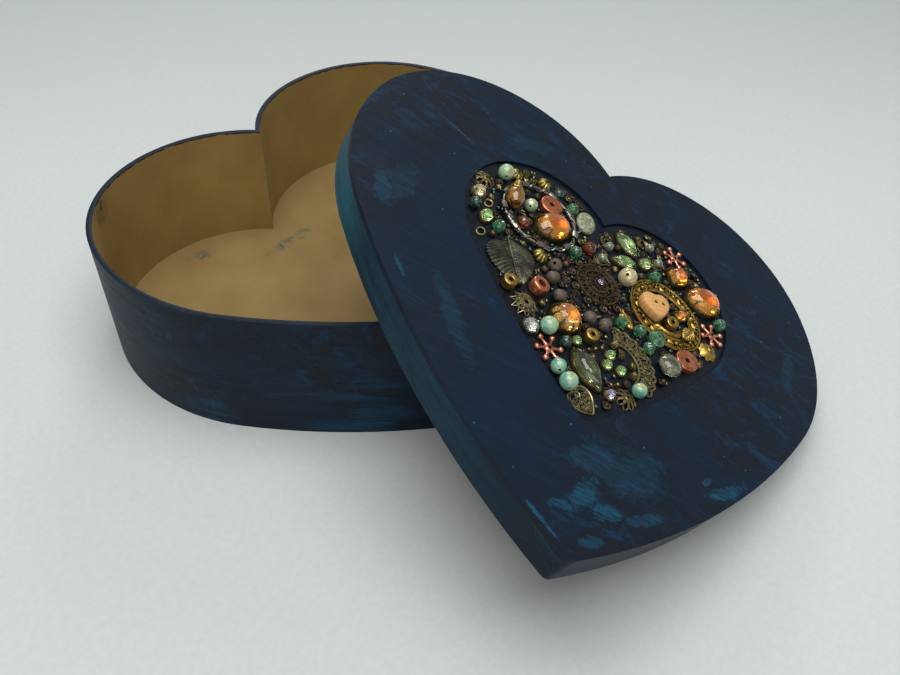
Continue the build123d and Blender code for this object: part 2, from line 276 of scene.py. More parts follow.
def kraft(name, on_lid=False, tint=(1, 1, 1), rim=None, smudges=()):
    """Bare brown card: short fibres, faint clouding, and paint where the brush strayed."""
    card = Finish(name, on_lid, Roughness=0.85)
    cloud = card.noise(0.035, 4.0, 0.6)
    shades = srgb(142, 112, 60), srgb(160, 130, 76)
    dull, bright = (tuple(c * t for c, t in zip(shade, tint + (1,))) for shade in shades)
    colour = card.ramp(cloud, (0.35, dull), (0.68, bright))
    fibres = card.noise(1.0, 6.0, 0.7, 1.5, card.stretch((0.6, 2.0, 1.4)))
    colour = card.mix(card.range(fibres, 0.5, 0.8, 0.0, 0.35), colour, srgb(112, 88, 52))
    flecks = card.noise(2.6, 3.0, 0.6)
    colour = card.mix(card.range(flecks, 0.66, 0.78, 0.0, 0.35), colour, srgb(190, 166, 120))
    ragged = card.noise(0.28, 6.0, 0.75)
    if rim:
        edge = card.math("ADD", card.axis("Z"), card.both(ragged, 2.4))
        colour = card.mix(card.range(edge, rim + 1.2, rim + 1.4), colour, srgb(17, 28, 43))
    for centre, radii, shade in smudges:
        mask = card.both(card.within(centre, radii, 0.7), card.range(ragged, 0.46, 0.6))
        colour = card.mix(card.both(mask, 0.85), colour, srgb(*shade))
    card.set(Base_Color=colour)
    card.bump(fibres, 0.1, 0.7)
    return card.material


def dimmed(shade, share):
    """A colour multiplied down, as light."""
    return tuple(c * share for c in srgb(*shade)[:3]) + (1.0,)


def metal(name, shade, dark, worn, roughness=0.34, metallic=0.92, grain=0.6, hollow=0.8):
    """Aged metal: bright where it is touched, dark in its hollows, and blotched."""
    alloy = Finish(name, Metallic=metallic)
    blotch = alloy.noise(grain, 5.0, 0.65)
    colour = alloy.ramp(blotch, (0.34, srgb(*dark)), (0.5, srgb(*shade)), (0.72, srgb(*worn)))
    open_to = alloy.range(alloy.recess(hollow), 0.35, 0.85)
    colour = alloy.mix(open_to, dimmed(dark, 0.16), colour)
    alloy.set(Base_Color=colour, Roughness=alloy.range(blotch, 0.3, 0.7, roughness + 0.16, roughness - 0.06))
    alloy.bump(alloy.noise(3.5, 4.0, 0.6), 0.03, 0.6)
    return alloy.material


def glass(name, shade, dark, clear=0.8, patch=0.5):
    """Coloured glass, a little uneven inside."""
    made = Finish(name, Transmission_Weight=clear, IOR=1.55, Roughness=0.04)
    made.set(Coat_Weight=0.6, Coat_Roughness=0.02)
    tone = made.noise(patch, 2.0, 0.5, 0.8)
    made.set(Base_Color=made.ramp(tone, (0.38, srgb(*dark)), (0.62, srgb(*shade))))
    return made.material


def foil(name, shade):
    """The mirror foil behind a cut stone, a little clouded."""
    made = Finish(name, Metallic=0.75, Roughness=0.36)
    cloud = made.noise(0.5, 3.0)
    made.set(Base_Color=made.ramp(cloud, (0.35, srgb(*(int(c * 0.86) for c in shade))), (0.65, srgb(*shade))))
    return made.material


def amazonite():
    """Polished green stone: teal fading to olive in bands, with pale veins."""
    made = Finish("amazonite", Roughness=0.16, Coat_Weight=0.5, Coat_Roughness=0.06)
    warped = made.noise(0.22, 4.0, 0.6, 1.6, made.stretch((1.0, 0.7, 1.6), (0.5, 0.3, 0.9)))
    colour = made.ramp(
        warped, (0.34, srgb(70, 142, 130)), (0.46, srgb(118, 172, 148)),
        (0.56, srgb(160, 176, 132)), (0.7, srgb(128, 130, 82)),
    )
    vein = made.noise(0.5, 6.0, 0.7, 2.2)
    colour = made.mix(made.range(vein, 0.58, 0.7, 0.0, 0.6), colour, srgb(206, 216, 192))
    made.set(Base_Color=colour)
    return made.material


def pearl(name, shade, dark):
    """A pearl coat: a soft metallic lustre over a cloudy body."""
    made = Finish(name, Metallic=0.35, Roughness=0.24, Coat_Weight=0.8, Coat_Roughness=0.1, Sheen_Weight=0.3)
    made.set(Base_Color=made.ramp(made.noise(0.5, 3.0), (0.35, srgb(*dark)), (0.65, srgb(*shade))))
    return made.material


def carved():
    """Mottled grey-green stone, with painted shade in its hollows, so its high places look paler."""
    made = Finish("carved_stone", Roughness=0.5)
    mottle = made.noise(1.1, 6.0, 0.7)
    stops = (0.36, srgb(78, 86, 66)), (0.5, srgb(126, 132, 106)), (0.68, srgb(178, 178, 150))
    colour = made.ramp(mottle, *stops)
    # Painted shade: darker in the hollows and where the stone meets its neighbours, from ambient occlusion.
    open_to = made.range(made.recess(0.7), 0.5, 0.95)
    made.set(Base_Color=made.mix(open_to, srgb(46, 48, 34), colour))
    made.bump(mottle, 0.08, 0.8)
    return made.material


def timber(name, light, dark, grain_turn, gloss=0.5):
    """Wood: rings stretched into grain, with short pores, and painted shade in its hollows."""
    made = Finish(name, Roughness=gloss, Coat_Weight=0.15)
    along = made.stretch((0.16, 1.0, 0.6), (0, 0, grain_turn))
    rings = made.node("TexWave", {"Vector": along, "Scale": 0.5, "Distortion": 4.0, "Detail": 3.0})
    colour = made.ramp(rings, (0.1, srgb(*dark)), (0.75, srgb(*light)))
    pores = made.noise(3.4, 4.0, 0.7, 0.0, made.stretch((0.25, 1.2, 1.0), (0, 0, grain_turn)))
    colour = made.mix(made.range(pores, 0.6, 0.75, 0.0, 0.5), colour, srgb(*dark))
    # Painted shade: darker in the hollows and where the wood meets its neighbours, from ambient occlusion.
    open_to = made.range(made.recess(1.2), 0.3, 0.9)
    colour = made.mix(open_to, dimmed(dark, 0.25), colour)
    made.set(Base_Color=colour)
    made.bump(pores, 0.05, 0.7)
    return made.material


def glue():
    """Set clear glue over dark paint, darkened further as painted shade between the jewels: wet-looking, with
    low waves.
    """
    made = Finish("glue_with_painted_shade", Roughness=0.34, Coat_Weight=0.1, Coat_Roughness=0.12, Specular_IOR_Level=0.2)
    wave = made.noise(0.32, 3.0, 0.5)
    # Partly the dark paint under the glue, and partly painted shade: the darkest stop stands in for the shadow
    # in the gaps between the jewels.
    made.set(Base_Color=made.ramp(wave, (0.35, srgb(5, 11, 18)), (0.7, srgb(11, 21, 33))))
    made.bump(wave, 0.4, 0.8)
    return made.material


def worn_edge():
    """The lid's top edge: rubbed to teal, more so towards the tip, with bare card in places."""
    made = Finish("worn_edge", Roughness=0.5, Specular_IOR_Level=0.25)
    rub = made.noise(0.11, 6.0, 0.7)
    low = made.within((-14, -88, 11), (34, 34, 20), 0.6)
    left = made.within((-62, -40, 11), (46, 52, 20), 0.4)
    teal = made.range(made.math("ADD", rub, made.both(low, 0.16)), 0.5, 0.58)
    colour = made.mix(teal, srgb(13, 26, 40), srgb(30, 96, 118))
    bare = made.both(left, made.range(made.noise(0.3, 5.0, 0.7), 0.4, 0.5))
    colour = made.mix(made.both(bare, 0.8), colour, srgb(128, 112, 96))
    made.set(Base_Color=colour)
    made.bump(rub, 0.1, 0.6)
    return made.material


def backdrop():
    """A pale woven floor that darkens away from the light."""
    made = Finish("pale_floor", on_lid=False, Roughness=0.9)
    weave = made.noise(0.5, 4.0, 0.6)
    colour = made.ramp(weave, (0.3, srgb(188, 193, 192)), (0.7, srgb(194, 199, 198)))
    far = made.math("ADD", made.both(made.axis("X"), 0.8), made.both(made.axis("Y"), 0.6))
    made.set(Base_Color=made.mix(made.range(far, 60, 520), colour, srgb(150, 156, 154)))
    made.bump(weave, 0.15, 0.4)
    return made.material


ANTIQUE = metal("antique_brass", (118, 106, 68), (62, 54, 34), (176, 160, 104), 0.36)
YELLOW = metal("yellow_brass", (164, 134, 64), (100, 78, 32), (216, 188, 104), 0.3)
PALE = metal("pale_brass", (140, 130, 92), (84, 76, 50), (190, 180, 132), 0.34)
BRONZE = metal("dark_bronze", (78, 64, 48), (40, 32, 26), (118, 100, 76), 0.42, 0.8)
GUNMETAL = metal("gunmetal_leaf", (84, 82, 70), (50, 48, 42), (138, 134, 108), 0.36, 0.9, 0.3, 0.5)
SILVER = metal("tarnished_silver", (150, 148, 136), (84, 82, 74), (214, 212, 200), 0.26, 1.0, 0.5, 0.6)
COPPER = metal("matte_copper", (200, 122, 86), (150, 80, 52), (232, 160, 124), 0.3, 0.9, 0.35, 0.7)
GREEN_GLASS = glass("green_glass", (120, 196, 140), (46, 120, 78), 0.75)
DEEP_GREEN = glass("deep_green_glass", (40, 92, 70), (12, 34, 26), 0.5)
BROWN_GLASS = glass("brown_glass", (196, 92, 30), (84, 34, 10), 0.65)
HONEY_GLASS = glass("honey_glass", (178, 124, 46), (92, 58, 18), 0.35, patch=0.35)
GREY_GLASS = glass("grey_glass", (168, 170, 140), (98, 98, 74), 0.7)
AMBER_GLASS = glass("amber_glass", (252, 192, 66), (240, 150, 26), 0.9, patch=0.16)
TOPAZ_GLASS = glass("topaz_glass", (255, 214, 128), (240, 172, 62), 0.92, patch=0.3)
PERIDOT_GLASS = glass("peridot_glass", (206, 226, 160), (160, 200, 126), 0.92)
OLIVE_GLASS = glass("olive_glass", (160, 170, 122), (112, 122, 80), 0.92, patch=0.12)
CLEAR_GLASS = glass("clear_glass", (240, 240, 232), (214, 216, 206), 0.95)
CREAM_GLASS = glass("cream_glass", (246, 238, 206), (224, 212, 170), 0.9)
GOLD_FOIL = foil("gold_foil", (255, 214, 130))
SILVER_FOIL = foil("silver_foil", (236, 238, 240))
VIOLET_GLASS = glass("violet_glass", (214, 208, 226), (170, 156, 200), 0.9)
AMAZONITE = amazonite()
GREEN_PEARL = pearl("green_pearl", (184, 204, 160), (132, 158, 112))
GREY_PEARL = pearl("grey_pearl", (138, 146, 118), (88, 96, 74))
GOLD_PEARL = pearl("gold_pearl", (224, 208, 160), (176, 158, 108))
WOOD = timber("button_wood", (204, 154, 90), (192, 142, 82), 0.5)
DARK_WOOD = timber("dark_wood", (88, 74, 62), (66, 55, 46), 1.2, 0.6)
STONE = carved()


# ---------------------------------------------------------------- shapes, in millimetres
# A shape is (verts, faces). An outline is a function from 0 to 1 to a point (x, y).
def stitched(rings, closed, quad):
    """Join each ring to the next, a ring of one point being a tip, and cap the two ends."""
    faces = []
    for k, (low, high) in enumerate(zip(rings, rings[1:] + ([rings[0]] if closed else []))):
        count = max(len(low), len(high))
        for i in range(count):
            j = (i + 1) % count
            if len(low) == 1:
                faces.append((low[0], high[j], high[i]))
            elif len(high) == 1:
                faces.append((low[i], low[j], high[0]))
            else:
                faces += quad(k, low[i], low[j], high[i], high[j])
    if not closed:
        for ring, step in ((rings[0], -1), (rings[-1], 1)):
            if len(ring) > 1:
                faces.append(tuple(ring[::step]))
    return faces


def flat_quad(k, a, b, c, d):
    return [(a, b, d, c)]


def split_quad(k, a, b, c, d):
    """Two triangles, cut along one diagonal on even rings and the other on odd ones."""
    return [(a, b, c), (c, b, d)] if k % 2 == 0 else [(a, d, c), (a, b, d)]


def circle(radius):
    return lambda t: (radius * cos(TAU * t), radius * sin(TAU * t))


def oval(length, width, square=2.0):
    """A smooth outline; square=2 is an ellipse, and higher is squarer."""

    def outline(t):
        c, s = cos(TAU * t), sin(TAU * t)
        grow = (abs(c) ** square + abs(s) ** square) ** (-1 / square)
        return length / 2 * c * grow, width / 2 * s * grow

    return outline


def boat(length, width):
    """A navette's outline: two arcs that meet in points."""

    def outline(t):
        c, s = cos(TAU * t), sin(TAU * t)
        return length / 2 * c, width / 2 * s * abs(s)

    return outline


def turned(profile, segments=28, warp=None, closed=False, outline=None):
    """A solid of revolution from (radius, z) rows, or the same rows offset from an outline."""
    verts, rings = [], []
    for radius, z in profile:
        if not outline and abs(radius) < 1e-6:
            rings.append([len(verts)])
            verts.append(Vector((0, 0, z)))
            continue
        rings.append(list(range(len(verts), len(verts) + segments)))
        for i in range(segments):
            angle = TAU * i / segments
            r, height = warp(angle, radius, z) if warp else (radius, z)
            if outline:
                x, y = outline(i / segments)
                ahead, behind = outline((i + 0.2) / segments), outline((i - 0.2) / segments)
                along = Vector((ahead[0] - behind[0], ahead[1] - behind[1])).normalized()
                verts.append(Vector((x + along.y * r, y - along.x * r, height)))
            else:
                verts.append(Vector((r * cos(angle), r * sin(angle), height)))
    return verts, stitched(rings, closed, flat_quad)


def ball(radius, rings=12, segments=20):
    rows = [(radius * sin(pi * i / rings), -radius * cos(pi * i / rings)) for i in range(rings + 1)]
    rows[0], rows[-1] = (0, -radius), (0, radius)
    return turned(rows, segments)


def drilled(radius, hole, rings=14, segments=28, squash=1.0):
    """A bead with a hole along its axis."""
    start = asin(hole / radius)
    angles = [start + (pi - 2 * start) * i / rings for i in range(rings + 1)]
    return turned([(radius * sin(a), -radius * cos(a) * squash) for a in angles], segments, closed=True)


def faceted(levels, sides, outline=None, closed=False):
    """Rings of points, each half a step round from the last, joined by flat triangles."""
    outline = outline or circle(1.0)
    verts, rings = [], []
    for k, (size, z) in enumerate(levels):
        if size == 0:
            rings.append([len(verts)])
            verts.append(Vector((0, 0, z)))
            continue
        rings.append(list(range(len(verts), len(verts) + sides)))
        for i in range(sides):
            x, y = outline((i + 0.5 * (k % 2)) / sides)
            verts.append(Vector((x * size, y * size, z)))
    return verts, stitched(rings, closed, split_quad)


def crystal(radius, height, hole=0.35, sides=9):
    """A faceted rondelle bead."""
    rows = [(hole, 0.1), (radius * 0.5, 0), (radius * 0.93, 0.3)]
    rows += [(radius, 0.62), (radius * 0.55, 0.96), (hole, 0.9)]
    return faceted([(r, z * height) for r, z in rows], sides, closed=True)


def cut_stone(outline, foot, girdle, top, sides=12):
    """A brilliant-cut stone: table, two rows of crown facets, and its pavilion."""
    rise, drop = top - girdle, girdle - foot
    rows = [
        (0, foot), (0.55, foot + drop * 0.42), (1.0, girdle), (0.97, girdle + rise * 0.18),
        (0.8, girdle + rise * 0.66), (0.55, top),
    ]
    return faceted(rows, sides, outline)


def wire(points, radius, sides=6, closed=False, reference=UP):
    """A round wire along a line of points; its radius may be a function of the way along, 0 to 1."""
    path = [Vector(p) for p in points]
    count = len(path)
    verts, faces = [], []
    for i, point in enumerate(path):
        before = path[i - 1] if closed or i else point
        after = path[(i + 1) % count] if closed or i < count - 1 else point
        along = (after - before).normalized()
        side = along.cross(reference)
        side = side.normalized() if side.length > 1e-4 else along.orthogonal().normalized()
        over = side.cross(along)
        size = radius(i / max(1, count - 1)) if callable(radius) else radius
        for k in range(sides):
            angle = TAU * k / sides
            verts.append(point + (side * cos(angle) + over * sin(angle)) * size)
    for i in range(count if closed else count - 1):
        a, b = i * sides, (i + 1) % count * sides
        for k in range(sides):
            m = (k + 1) % sides
            faces.append((a + k, a + m, b + m, b + k))
    if not closed:
        far = (count - 1) * sides
        for start, end, inner, step in ((0, path[0], path[1], 1), (far, path[-1], path[-2], -1)):
            size = (verts[start] - end).length
            verts.append(end + (end - inner).normalized() * size * 0.6)
            for k in range(sides):
                faces.append((start + (k + 1) % sides, start + k, len(verts) - 1)[::step])
    return verts, faces


def spiral(x, y, outer, inner, start, turns, z=0.0, steps=14):
    """Points on a flat scroll, from its outside in."""
    count = max(6, int(steps * abs(turns)))
    rows = []
    for i in range(count + 1):
        s = i / count
        r, a = outer + (inner - outer) * s, start + TAU * turns * s
        rows.append((x + r * cos(a), y + r * sin(a), z))
    return rows


def ring_of(outline, z=0.0, count=40):
    return [(*outline(i / count), z) for i in range(count)]


def bowed(points, span, rise):
    """Lift the middle of a flat wire pattern into a low dome."""
    return [(x, y, z + rise * (1 - min(1.0, sqrt(x * x + y * y) / span) ** 2)) for x, y, z in points]


def slab(surface, rows, columns, thickness):
    """A thin closed sheet from a surface function of (s, u)."""
    top = [[surface(s / rows, 2 * u / columns - 1) for u in range(columns + 1)] for s in range(rows + 1)]
    verts = [Vector(p) for row in top for p in row]
    wide, total = columns + 1, len(verts)
    verts += [v - Vector((0, 0, thickness)) for v in verts]
    faces = []
    for s in range(rows):
        for u in range(columns):
            a = s * wide + u
            faces.append((a, a + 1, a + wide + 1, a + wide))
            faces.append((total + a, total + a + wide, total + a + wide + 1, total + a + 1))
    border = list(range(wide)) + [s * wide + columns for s in range(1, rows + 1)]
    border += [rows * wide + u for u in range(columns - 1, -1, -1)]
    border += [s * wide for s in range(rows - 1, 0, -1)]
    for a, b in zip(border, border[1:] + border[:1]):
        faces.append((b, a, total + a, total + b))
    return verts, faces


def heart(size, smooth=0, count=72):
    """Points round a heart of side, lobe and shoulder arcs from its tip on, and the y of its middle."""
    right = []
    for x, y, r, first, last in (
        (-110.2, 78.5, 212.0, -58.6, -31.1), (20, 0, 60.0, -31.1, 21.9), (34.3, 5.7, 44.6, 21.9, 140.3)
    ):
        steps = max(3, int(r * (last - first) / 260))
        for i in range(steps):
            a = radians(first + (last - first) * i / steps)
            right.append((x + r * cos(a), y + r * sin(a)))
    points = [(0.0, -102.4)] + right[1:] + [(0.0, 34.3)] + [(-x, y) for x, y in right[:0:-1]]
    points = [Vector((x, y + 28)) * size for x, y in points]
    lengths = [0.0]
    for a, b in zip(points, points[1:] + points[:1]):
        lengths.append(lengths[-1] + (b - a).length)
    even = []
    for i in range(count):
        want = lengths[-1] * i / count
        k = max(j for j, d in enumerate(lengths[:-1]) if d <= want)
        share = (want - lengths[k]) / (lengths[k + 1] - lengths[k])
        even.append(points[k].lerp(points[(k + 1) % len(points)], share))
    for _ in range(smooth):
        even = [(even[i - 1] + even[i] * 2 + even[(i + 1) % count]) / 4 for i in range(count)]
    return even, (max(p.y for p in even) + min(p.y for p in even)) / 2


def tilt(x, y):
    return Matrix.Rotation(radians(x), 4, "X") @ Matrix.Rotation(radians(y), 4, "Y")


def move(x=0.0, y=0.0, z=0.0):
    return Matrix.Translation((x, y, z))


def spin(angle):
    return Matrix.Rotation(angle, 4, "Z")


class Piece:
    """One visible piece, gathered from shapes in the lid's millimetres."""

    def __init__(self):
        self.verts, self.faces, self.index, self.smooth = [], [], [], []

    def add(self, shape, place=Matrix(), material=0, smooth=True):
        start = len(self.verts)
        self.verts += [place @ v for v in shape[0]]
        self.faces += [[start + i for i in face] for face in shape[1]]
        self.index += [material] * len(shape[1])
        self.smooth += [smooth] * len(shape[1])

    def build(self, name, *materials, sharp=38):
        mesh = bpy.data.meshes.new(name)
        mesh.from_pydata([LID @ v for v in self.verts], [], self.faces)
        mesh.polygons.foreach_set("material_index", self.index)
        mesh.polygons.foreach_set("use_smooth", self.smooth)
        work = bmesh.new()
        work.from_mesh(mesh)
        bmesh.ops.recalc_face_normals(work, faces=work.faces)
        work.to_mesh(mesh)
        work.free()
        mesh.set_sharp_from_angle(angle=radians(sharp))
        for material in materials:
            mesh.materials.append(material)
        piece = bpy.data.objects.new(name, mesh)
        bpy.context.scene.collection.objects.link(piece)
        return piece

    def make(self, node, slot, *materials, sharp=38):
        """Stand in for a CAD node on the lid."""
        piece = self.build(node + "_fine", *materials, sharp=sharp)
        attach(piece, "lid")
        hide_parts(node)


def spots(node, turns=()):
    """A CAD node's loose parts, from left to right on the lid: the place of each one's foot, and its size."""
    mesh = frame["nodes"][node].data
    welded, owner = {}, []
    for v in mesh.vertices:
        owner.append(welded.setdefault(tuple(round(c * 1e5) for c in v.co), len(welded)))
    parent = list(range(len(welded)))

    def root(i):
        while parent[i] != i:
            i = parent[i]
        return i

    for polygon in mesh.polygons:
        first = root(owner[polygon.vertices[0]])
        for v in polygon.vertices[1:]:
            parent[root(owner[v])] = first
    groups = {}
    for v, i in zip(mesh.vertices, owner):
        groups.setdefault(root(i), []).append(TO_LID @ v.co)
    ordered = sorted(groups.values(), key=lambda points: sum(p.x for p in points) / len(points))
    found = []
    for k, points in enumerate(ordered):
        turn = spin(radians(turns[k] if k < len(turns) else 0))
        own = [turn.inverted() @ p for p in points]
        low = Vector([min(p[i] for p in own) for i in range(3)])
        high = Vector([max(p[i] for p in own) for i in range(3)])
        foot = turn @ Vector(((low.x + high.x) / 2, (low.y + high.y) / 2, low.z))
        found.append((move(*foot) @ turn, high - low))
    return found


# ---------------------------------------------------------------- beads
def bead_set(node, slot, material, hole=0.4):
    piece = Piece()
    for place, size in spots(node):
        radius = size.x / 2
        lean = tilt(dice.uniform(60, 110), dice.uniform(-40, 40))
        piece.add(drilled(radius, hole, 16, 32), place @ move(z=radius) @ lean)
    piece.make(node, slot, material)


bead_set("amazonite_beads", "amazonite", AMAZONITE)
bead_set("small_amazonite_beads", "amazonite", AMAZONITE)
bead_set("green_pearl", "green_pearl", GREEN_PEARL, 0.35)
bead_set("scroll_pearls", "green_pearl", GREY_PEARL, 0.3)

gold = Piece()
for place, size in spots("gold_pearl"):
    gold.add(drilled(size.x / 2, 0.5, 18, 36), place @ move(z=size.z / 2) @ tilt(38, -30))
gold.make("gold_pearl", "gold_pearl", GOLD_PEARL)


def crystal_set(node, slot, material, lean=18, sides=9):
    piece = Piece()
    for place, size in spots(node):
        turn = tilt(dice.uniform(-lean, lean), dice.uniform(-lean, lean)) @ spin(dice.uniform(0, 1))
        shape = crystal(size.x / 2, size.z, 0.35, sides)
        piece.add(shape, place @ move(z=size.z / 2) @ turn @ move(z=-size.z / 2), smooth=False)
    piece.make(node, slot, material)


crystal_set("green_crystals", "green_glass", GREEN_GLASS)
crystal_set("large_green_crystal", "green_glass", GREEN_GLASS, 8, 11)
crystal_set("dark_crystals", "dark_glass", DEEP_GREEN)
crystal_set("brown_crystals", "brown_glass", BROWN_GLASS)

honey = Piece()
for place, _ in spots("honey_bead"):
    rows = [(0.5, -3.2), (1.7, -3.25), (2.5, -2.0), (2.9, -0.4)]
    rows += [(2.85, 0.8), (2.3, 2.3), (1.4, 3.3), (0.5, 3.25)]
    honey.add(faceted(rows, 10, closed=True), place @ move(z=2.95) @ spin(0.15) @ tilt(-90, 0), smooth=False)
honey.make("honey_bead", "honey_glass", HONEY_GLASS)



def fluted(angle, r, z):
    return r * (1 + 0.06 * cos(8 * angle)), z


cone = Piece()
for place, _ in spots("honey_bead_cap"):
    rows = [(2.1, -1.9), (2.2, -1.6), (1.9, -0.9), (1.5, 0.0), (1.25, 0.7)]
    rows += [(0.95, 1.5), (0.8, 1.9), (0.4, 1.85), (0.4, -1.7), (1.7, -1.8)]
    cone.add(turned(rows, 48, fluted, closed=True), place @ move(z=1.3) @ tilt(-78, 0))
cone.make("honey_bead_cap", "antique_brass", YELLOW)

nugget = Piece()
for place, size in spots("grey_nugget"):
    verts, faces = ball(1.0, 12, 16)
    lumpy = []
    for v in verts:
        bulge = 1 + 0.16 * noise.noise(v * 1.7 + Vector((3, 1, 7)))
        lumpy.append(Vector((v.x * size.x / 2, v.y * size.y / 2, v.z * size.z / 2)) * bulge * 0.95)
    nugget.add((lumpy, faces), place @ move(z=size.z / 2), smooth=False)
nugget.make("grey_nugget", "clear_glass", GREY_GLASS)

lumps = Piece()
for place, size in spots("dark_wood_beads"):
    verts, faces = drilled(size.x / 2, 0.5, 14, 24, squash=size.z / size.x)
    seed = Vector((dice.uniform(0, 9), dice.uniform(0, 9), 0))
    rough = [v * (1 + 0.1 * noise.noise(v * 1.3 + seed) + 0.05 * noise.noise(v * 3.7 + seed)) for v in verts]
    lumps.add((rough, faces), place @ move(z=size.z / 2) @ tilt(dice.uniform(-50, 50), dice.uniform(-50, 50)))
lumps.make("dark_wood_beads", "dark_wood", DARK_WOOD)


# ---------------------------------------------------------------- caps, rings and spacers
def melon(radius, height, ribs, hole, depth=0.2):
    """A bead cap pressed into ribs, with a rolled rim and a small hole in its crown."""
    rows = [(radius * 0.98, 0.0), (radius, 0.12), (radius * 0.97, height * 0.3)]
    rows += [(radius * 0.84, height * 0.6), (radius * 0.6, height * 0.86), (radius * 0.36, height * 0.98)]
    rows += [(hole, height), (hole, height * 0.8), (radius * 0.55, height * 0.66), (radius * 0.86, 0.05)]

    def ribbed(angle, r, z):
        groove = 1 - abs(cos(ribs * angle / 2)) ** 0.8
        share = min(1.0, max(0.0, (r - hole) / (radius - hole)))
        return r * (1 - depth * groove * share), z - 0.12 * height * groove * share

    return turned(rows, ribs * 8, ribbed, closed=True)


def cap_set(node, ribs, hole, material, depth=0.2, lean=12):
    piece = Piece()
    for place, size in spots(node):
        turn = tilt(dice.uniform(-lean, lean), dice.uniform(-lean, lean)) @ spin(dice.uniform(0, 1))
        piece.add(melon(size.x / 2, size.z * 0.92, ribs, hole, depth), place @ move(z=0.1) @ turn)
    piece.make(node, "antique_brass", material, sharp=60)


cap_set("melon_caps", 9, 0.5, metal("cap_brass", (142, 126, 66), (74, 62, 30), (196, 178, 104), 0.3))
cap_set("bud_beads", 8, 0.22, ANTIQUE, 0.24, 35)

daisy = Piece()
for place, size in spots("brass_daisy_cap"):
    reach = size.x / 2

    def petal(s, u):
        r = 0.7 + (reach - 0.7) * s
        width = 0.34 + 1.05 * sin(pi * min(1, s * 0.9 + 0.08))
        return r, u * width, 1.9 - 1.5 * s ** 1.6 + 0.32 * (1 - u * u)

    for k in range(8):
        daisy.add(slab(petal, 10, 6, 0.3), place @ spin(TAU * k / 8))
    daisy.add(drilled(0.95, 0.35, 8, 20, 0.6), place @ move(z=1.95))
daisy.make("brass_daisy_cap", "antique_brass", YELLOW)


def petal_loop(reach, width, start=0.9, count=18):
    """A teardrop loop of wire that leaves the middle and comes back to it."""
    rows = []
    for i in range(count):
        t = TAU * i / count
        out = (1 - cos(t)) / 2
        rows.append((start + (reach - start) * out, width / 2 * sin(t) * (0.55 + 0.45 * out), 0))
    return rows


flowers = Piece()
for place, size in spots("flower_caps"):
    reach = size.x / 2 + 0.5
    for k in range(8):
        loop = bowed(petal_loop(reach, 1.9), reach, 1.1)
        flowers.add(wire(loop, 0.26, 6, True), place @ move(z=0.3) @ spin(TAU * k / 8))
        inner = bowed(petal_loop(reach * 0.62, 0.7, 0.8, 12), reach, 1.15)
        flowers.add(wire(inner, 0.17, 5, True), place @ move(z=0.3) @ spin(TAU * (k + 0.5) / 8))
    flowers.add(drilled(0.9, 0.35, 8, 20, 0.5), place @ move(z=1.35))
flowers.make("flower_caps", "antique_brass", ANTIQUE)

spikes = Piece()
for place, size in spots("star_cap"):
    reach = size.x / 2
    for radius, thick in ((0.9, 0.22), (1.9, 0.2), (2.9, 0.22)):
        rim = bowed(ring_of(circle(radius), 0.3, 36), reach, 1.3)
        spikes.add(wire(rim, thick, 6, True), place)
    for k in range(10):
        a = TAU * k / 10
        tip = (reach * cos(a), reach * sin(a), 0.2)
        for side in (-0.26, 0.26):
            foot = (2.9 * cos(a + side), 2.9 * sin(a + side), 0.9)
            spikes.add(wire([foot, tip], lambda s: 0.24 - 0.08 * s, 6), place)
        curl = spiral(2.4 * cos(a), 2.4 * sin(a), 0.55, 0.18, a, 1.3, 0.3)
        spikes.add(wire(bowed(curl, reach, 1.3), 0.14, 5), place)
        curl = spiral(1.4 * cos(a + 0.3), 1.4 * sin(a + 0.3), 0.5, 0.16, a, -1.3, 0.3)
        spikes.add(wire(bowed(curl, reach, 1.35), 0.13, 5), place)
spikes.make("star_cap", "antique_brass", PALE)


def washer(radius, hole, height, soft=0.35):
    """A turned ring with softened edges."""
    rows = [(hole, 0.25), (hole + 0.2, 0.0), (radius - soft, 0.0), (radius - soft * 0.3, soft * 0.3)]
    rows += [(radius, soft), (radius, height - soft), (radius - soft * 0.3, height - soft * 0.3)]
    rows += [(radius - soft, height), (hole + 0.25, height)]
    rows += [(hole + 0.05, height - 0.08), (hole, height - 0.3)]
    return turned(rows, 44, closed=True)


def ring_set(node, slot, material, hole, lean, soft=0.35):
    piece = Piece()
    for place, size in spots(node):
        middle = move(z=size.z / 2)
        piece.add(washer(size.x / 2, hole, size.z, soft), place @ middle @ tilt(*lean) @ middle.inverted())
    piece.make(node, slot, material, sharp=50)


ring_set("copper_washers", "copper", COPPER, 0.8, (3, -4))
ring_set("copper_tube", "copper", COPPER, 1.2, (-4, 5), 0.5)
ring_set("brass_tube_beads", "antique_brass", YELLOW, 0.7, (6, -6), 0.3)

STAR_REACH, STAR_BALL = 3.7, 0.95
stars = Piece()
for place, _ in spots("copper_stars", (22, 0, 30)):
    for k in range(6):
        a = TAU * k / 6
        arm = [(r * cos(a), r * sin(a), STAR_BALL) for r in (1.0, 1.7, 2.4, 3.1, 3.6)]
        stars.add(wire(arm, lambda s: 0.58 - 0.14 * sin(pi * s), 10), place)
        tip = move(STAR_REACH * cos(a), STAR_REACH * sin(a), STAR_BALL)
        stars.add(ball(STAR_BALL * 0.94, 10, 16), place @ tip)
    stars.add(drilled(1.5, 0.55, 12, 30, 0.45), place @ move(z=STAR_BALL))
BRIGHT_COPPER = metal("bright_copper", (214, 140, 112), (150, 84, 62), (244, 190, 160), 0.24, 0.95, 0.4, 0.6)
stars.make("copper_stars", "copper", BRIGHT_COPPER)

links = Piece()
for place, _ in spots("link_rings"):
    links.add(wire(ring_of(circle(1.2), 0, 28), 0.32, 8, True), place @ move(z=0.6) @ tilt(14, -12))
links.make("link_rings", "antique_brass", ANTIQUE)

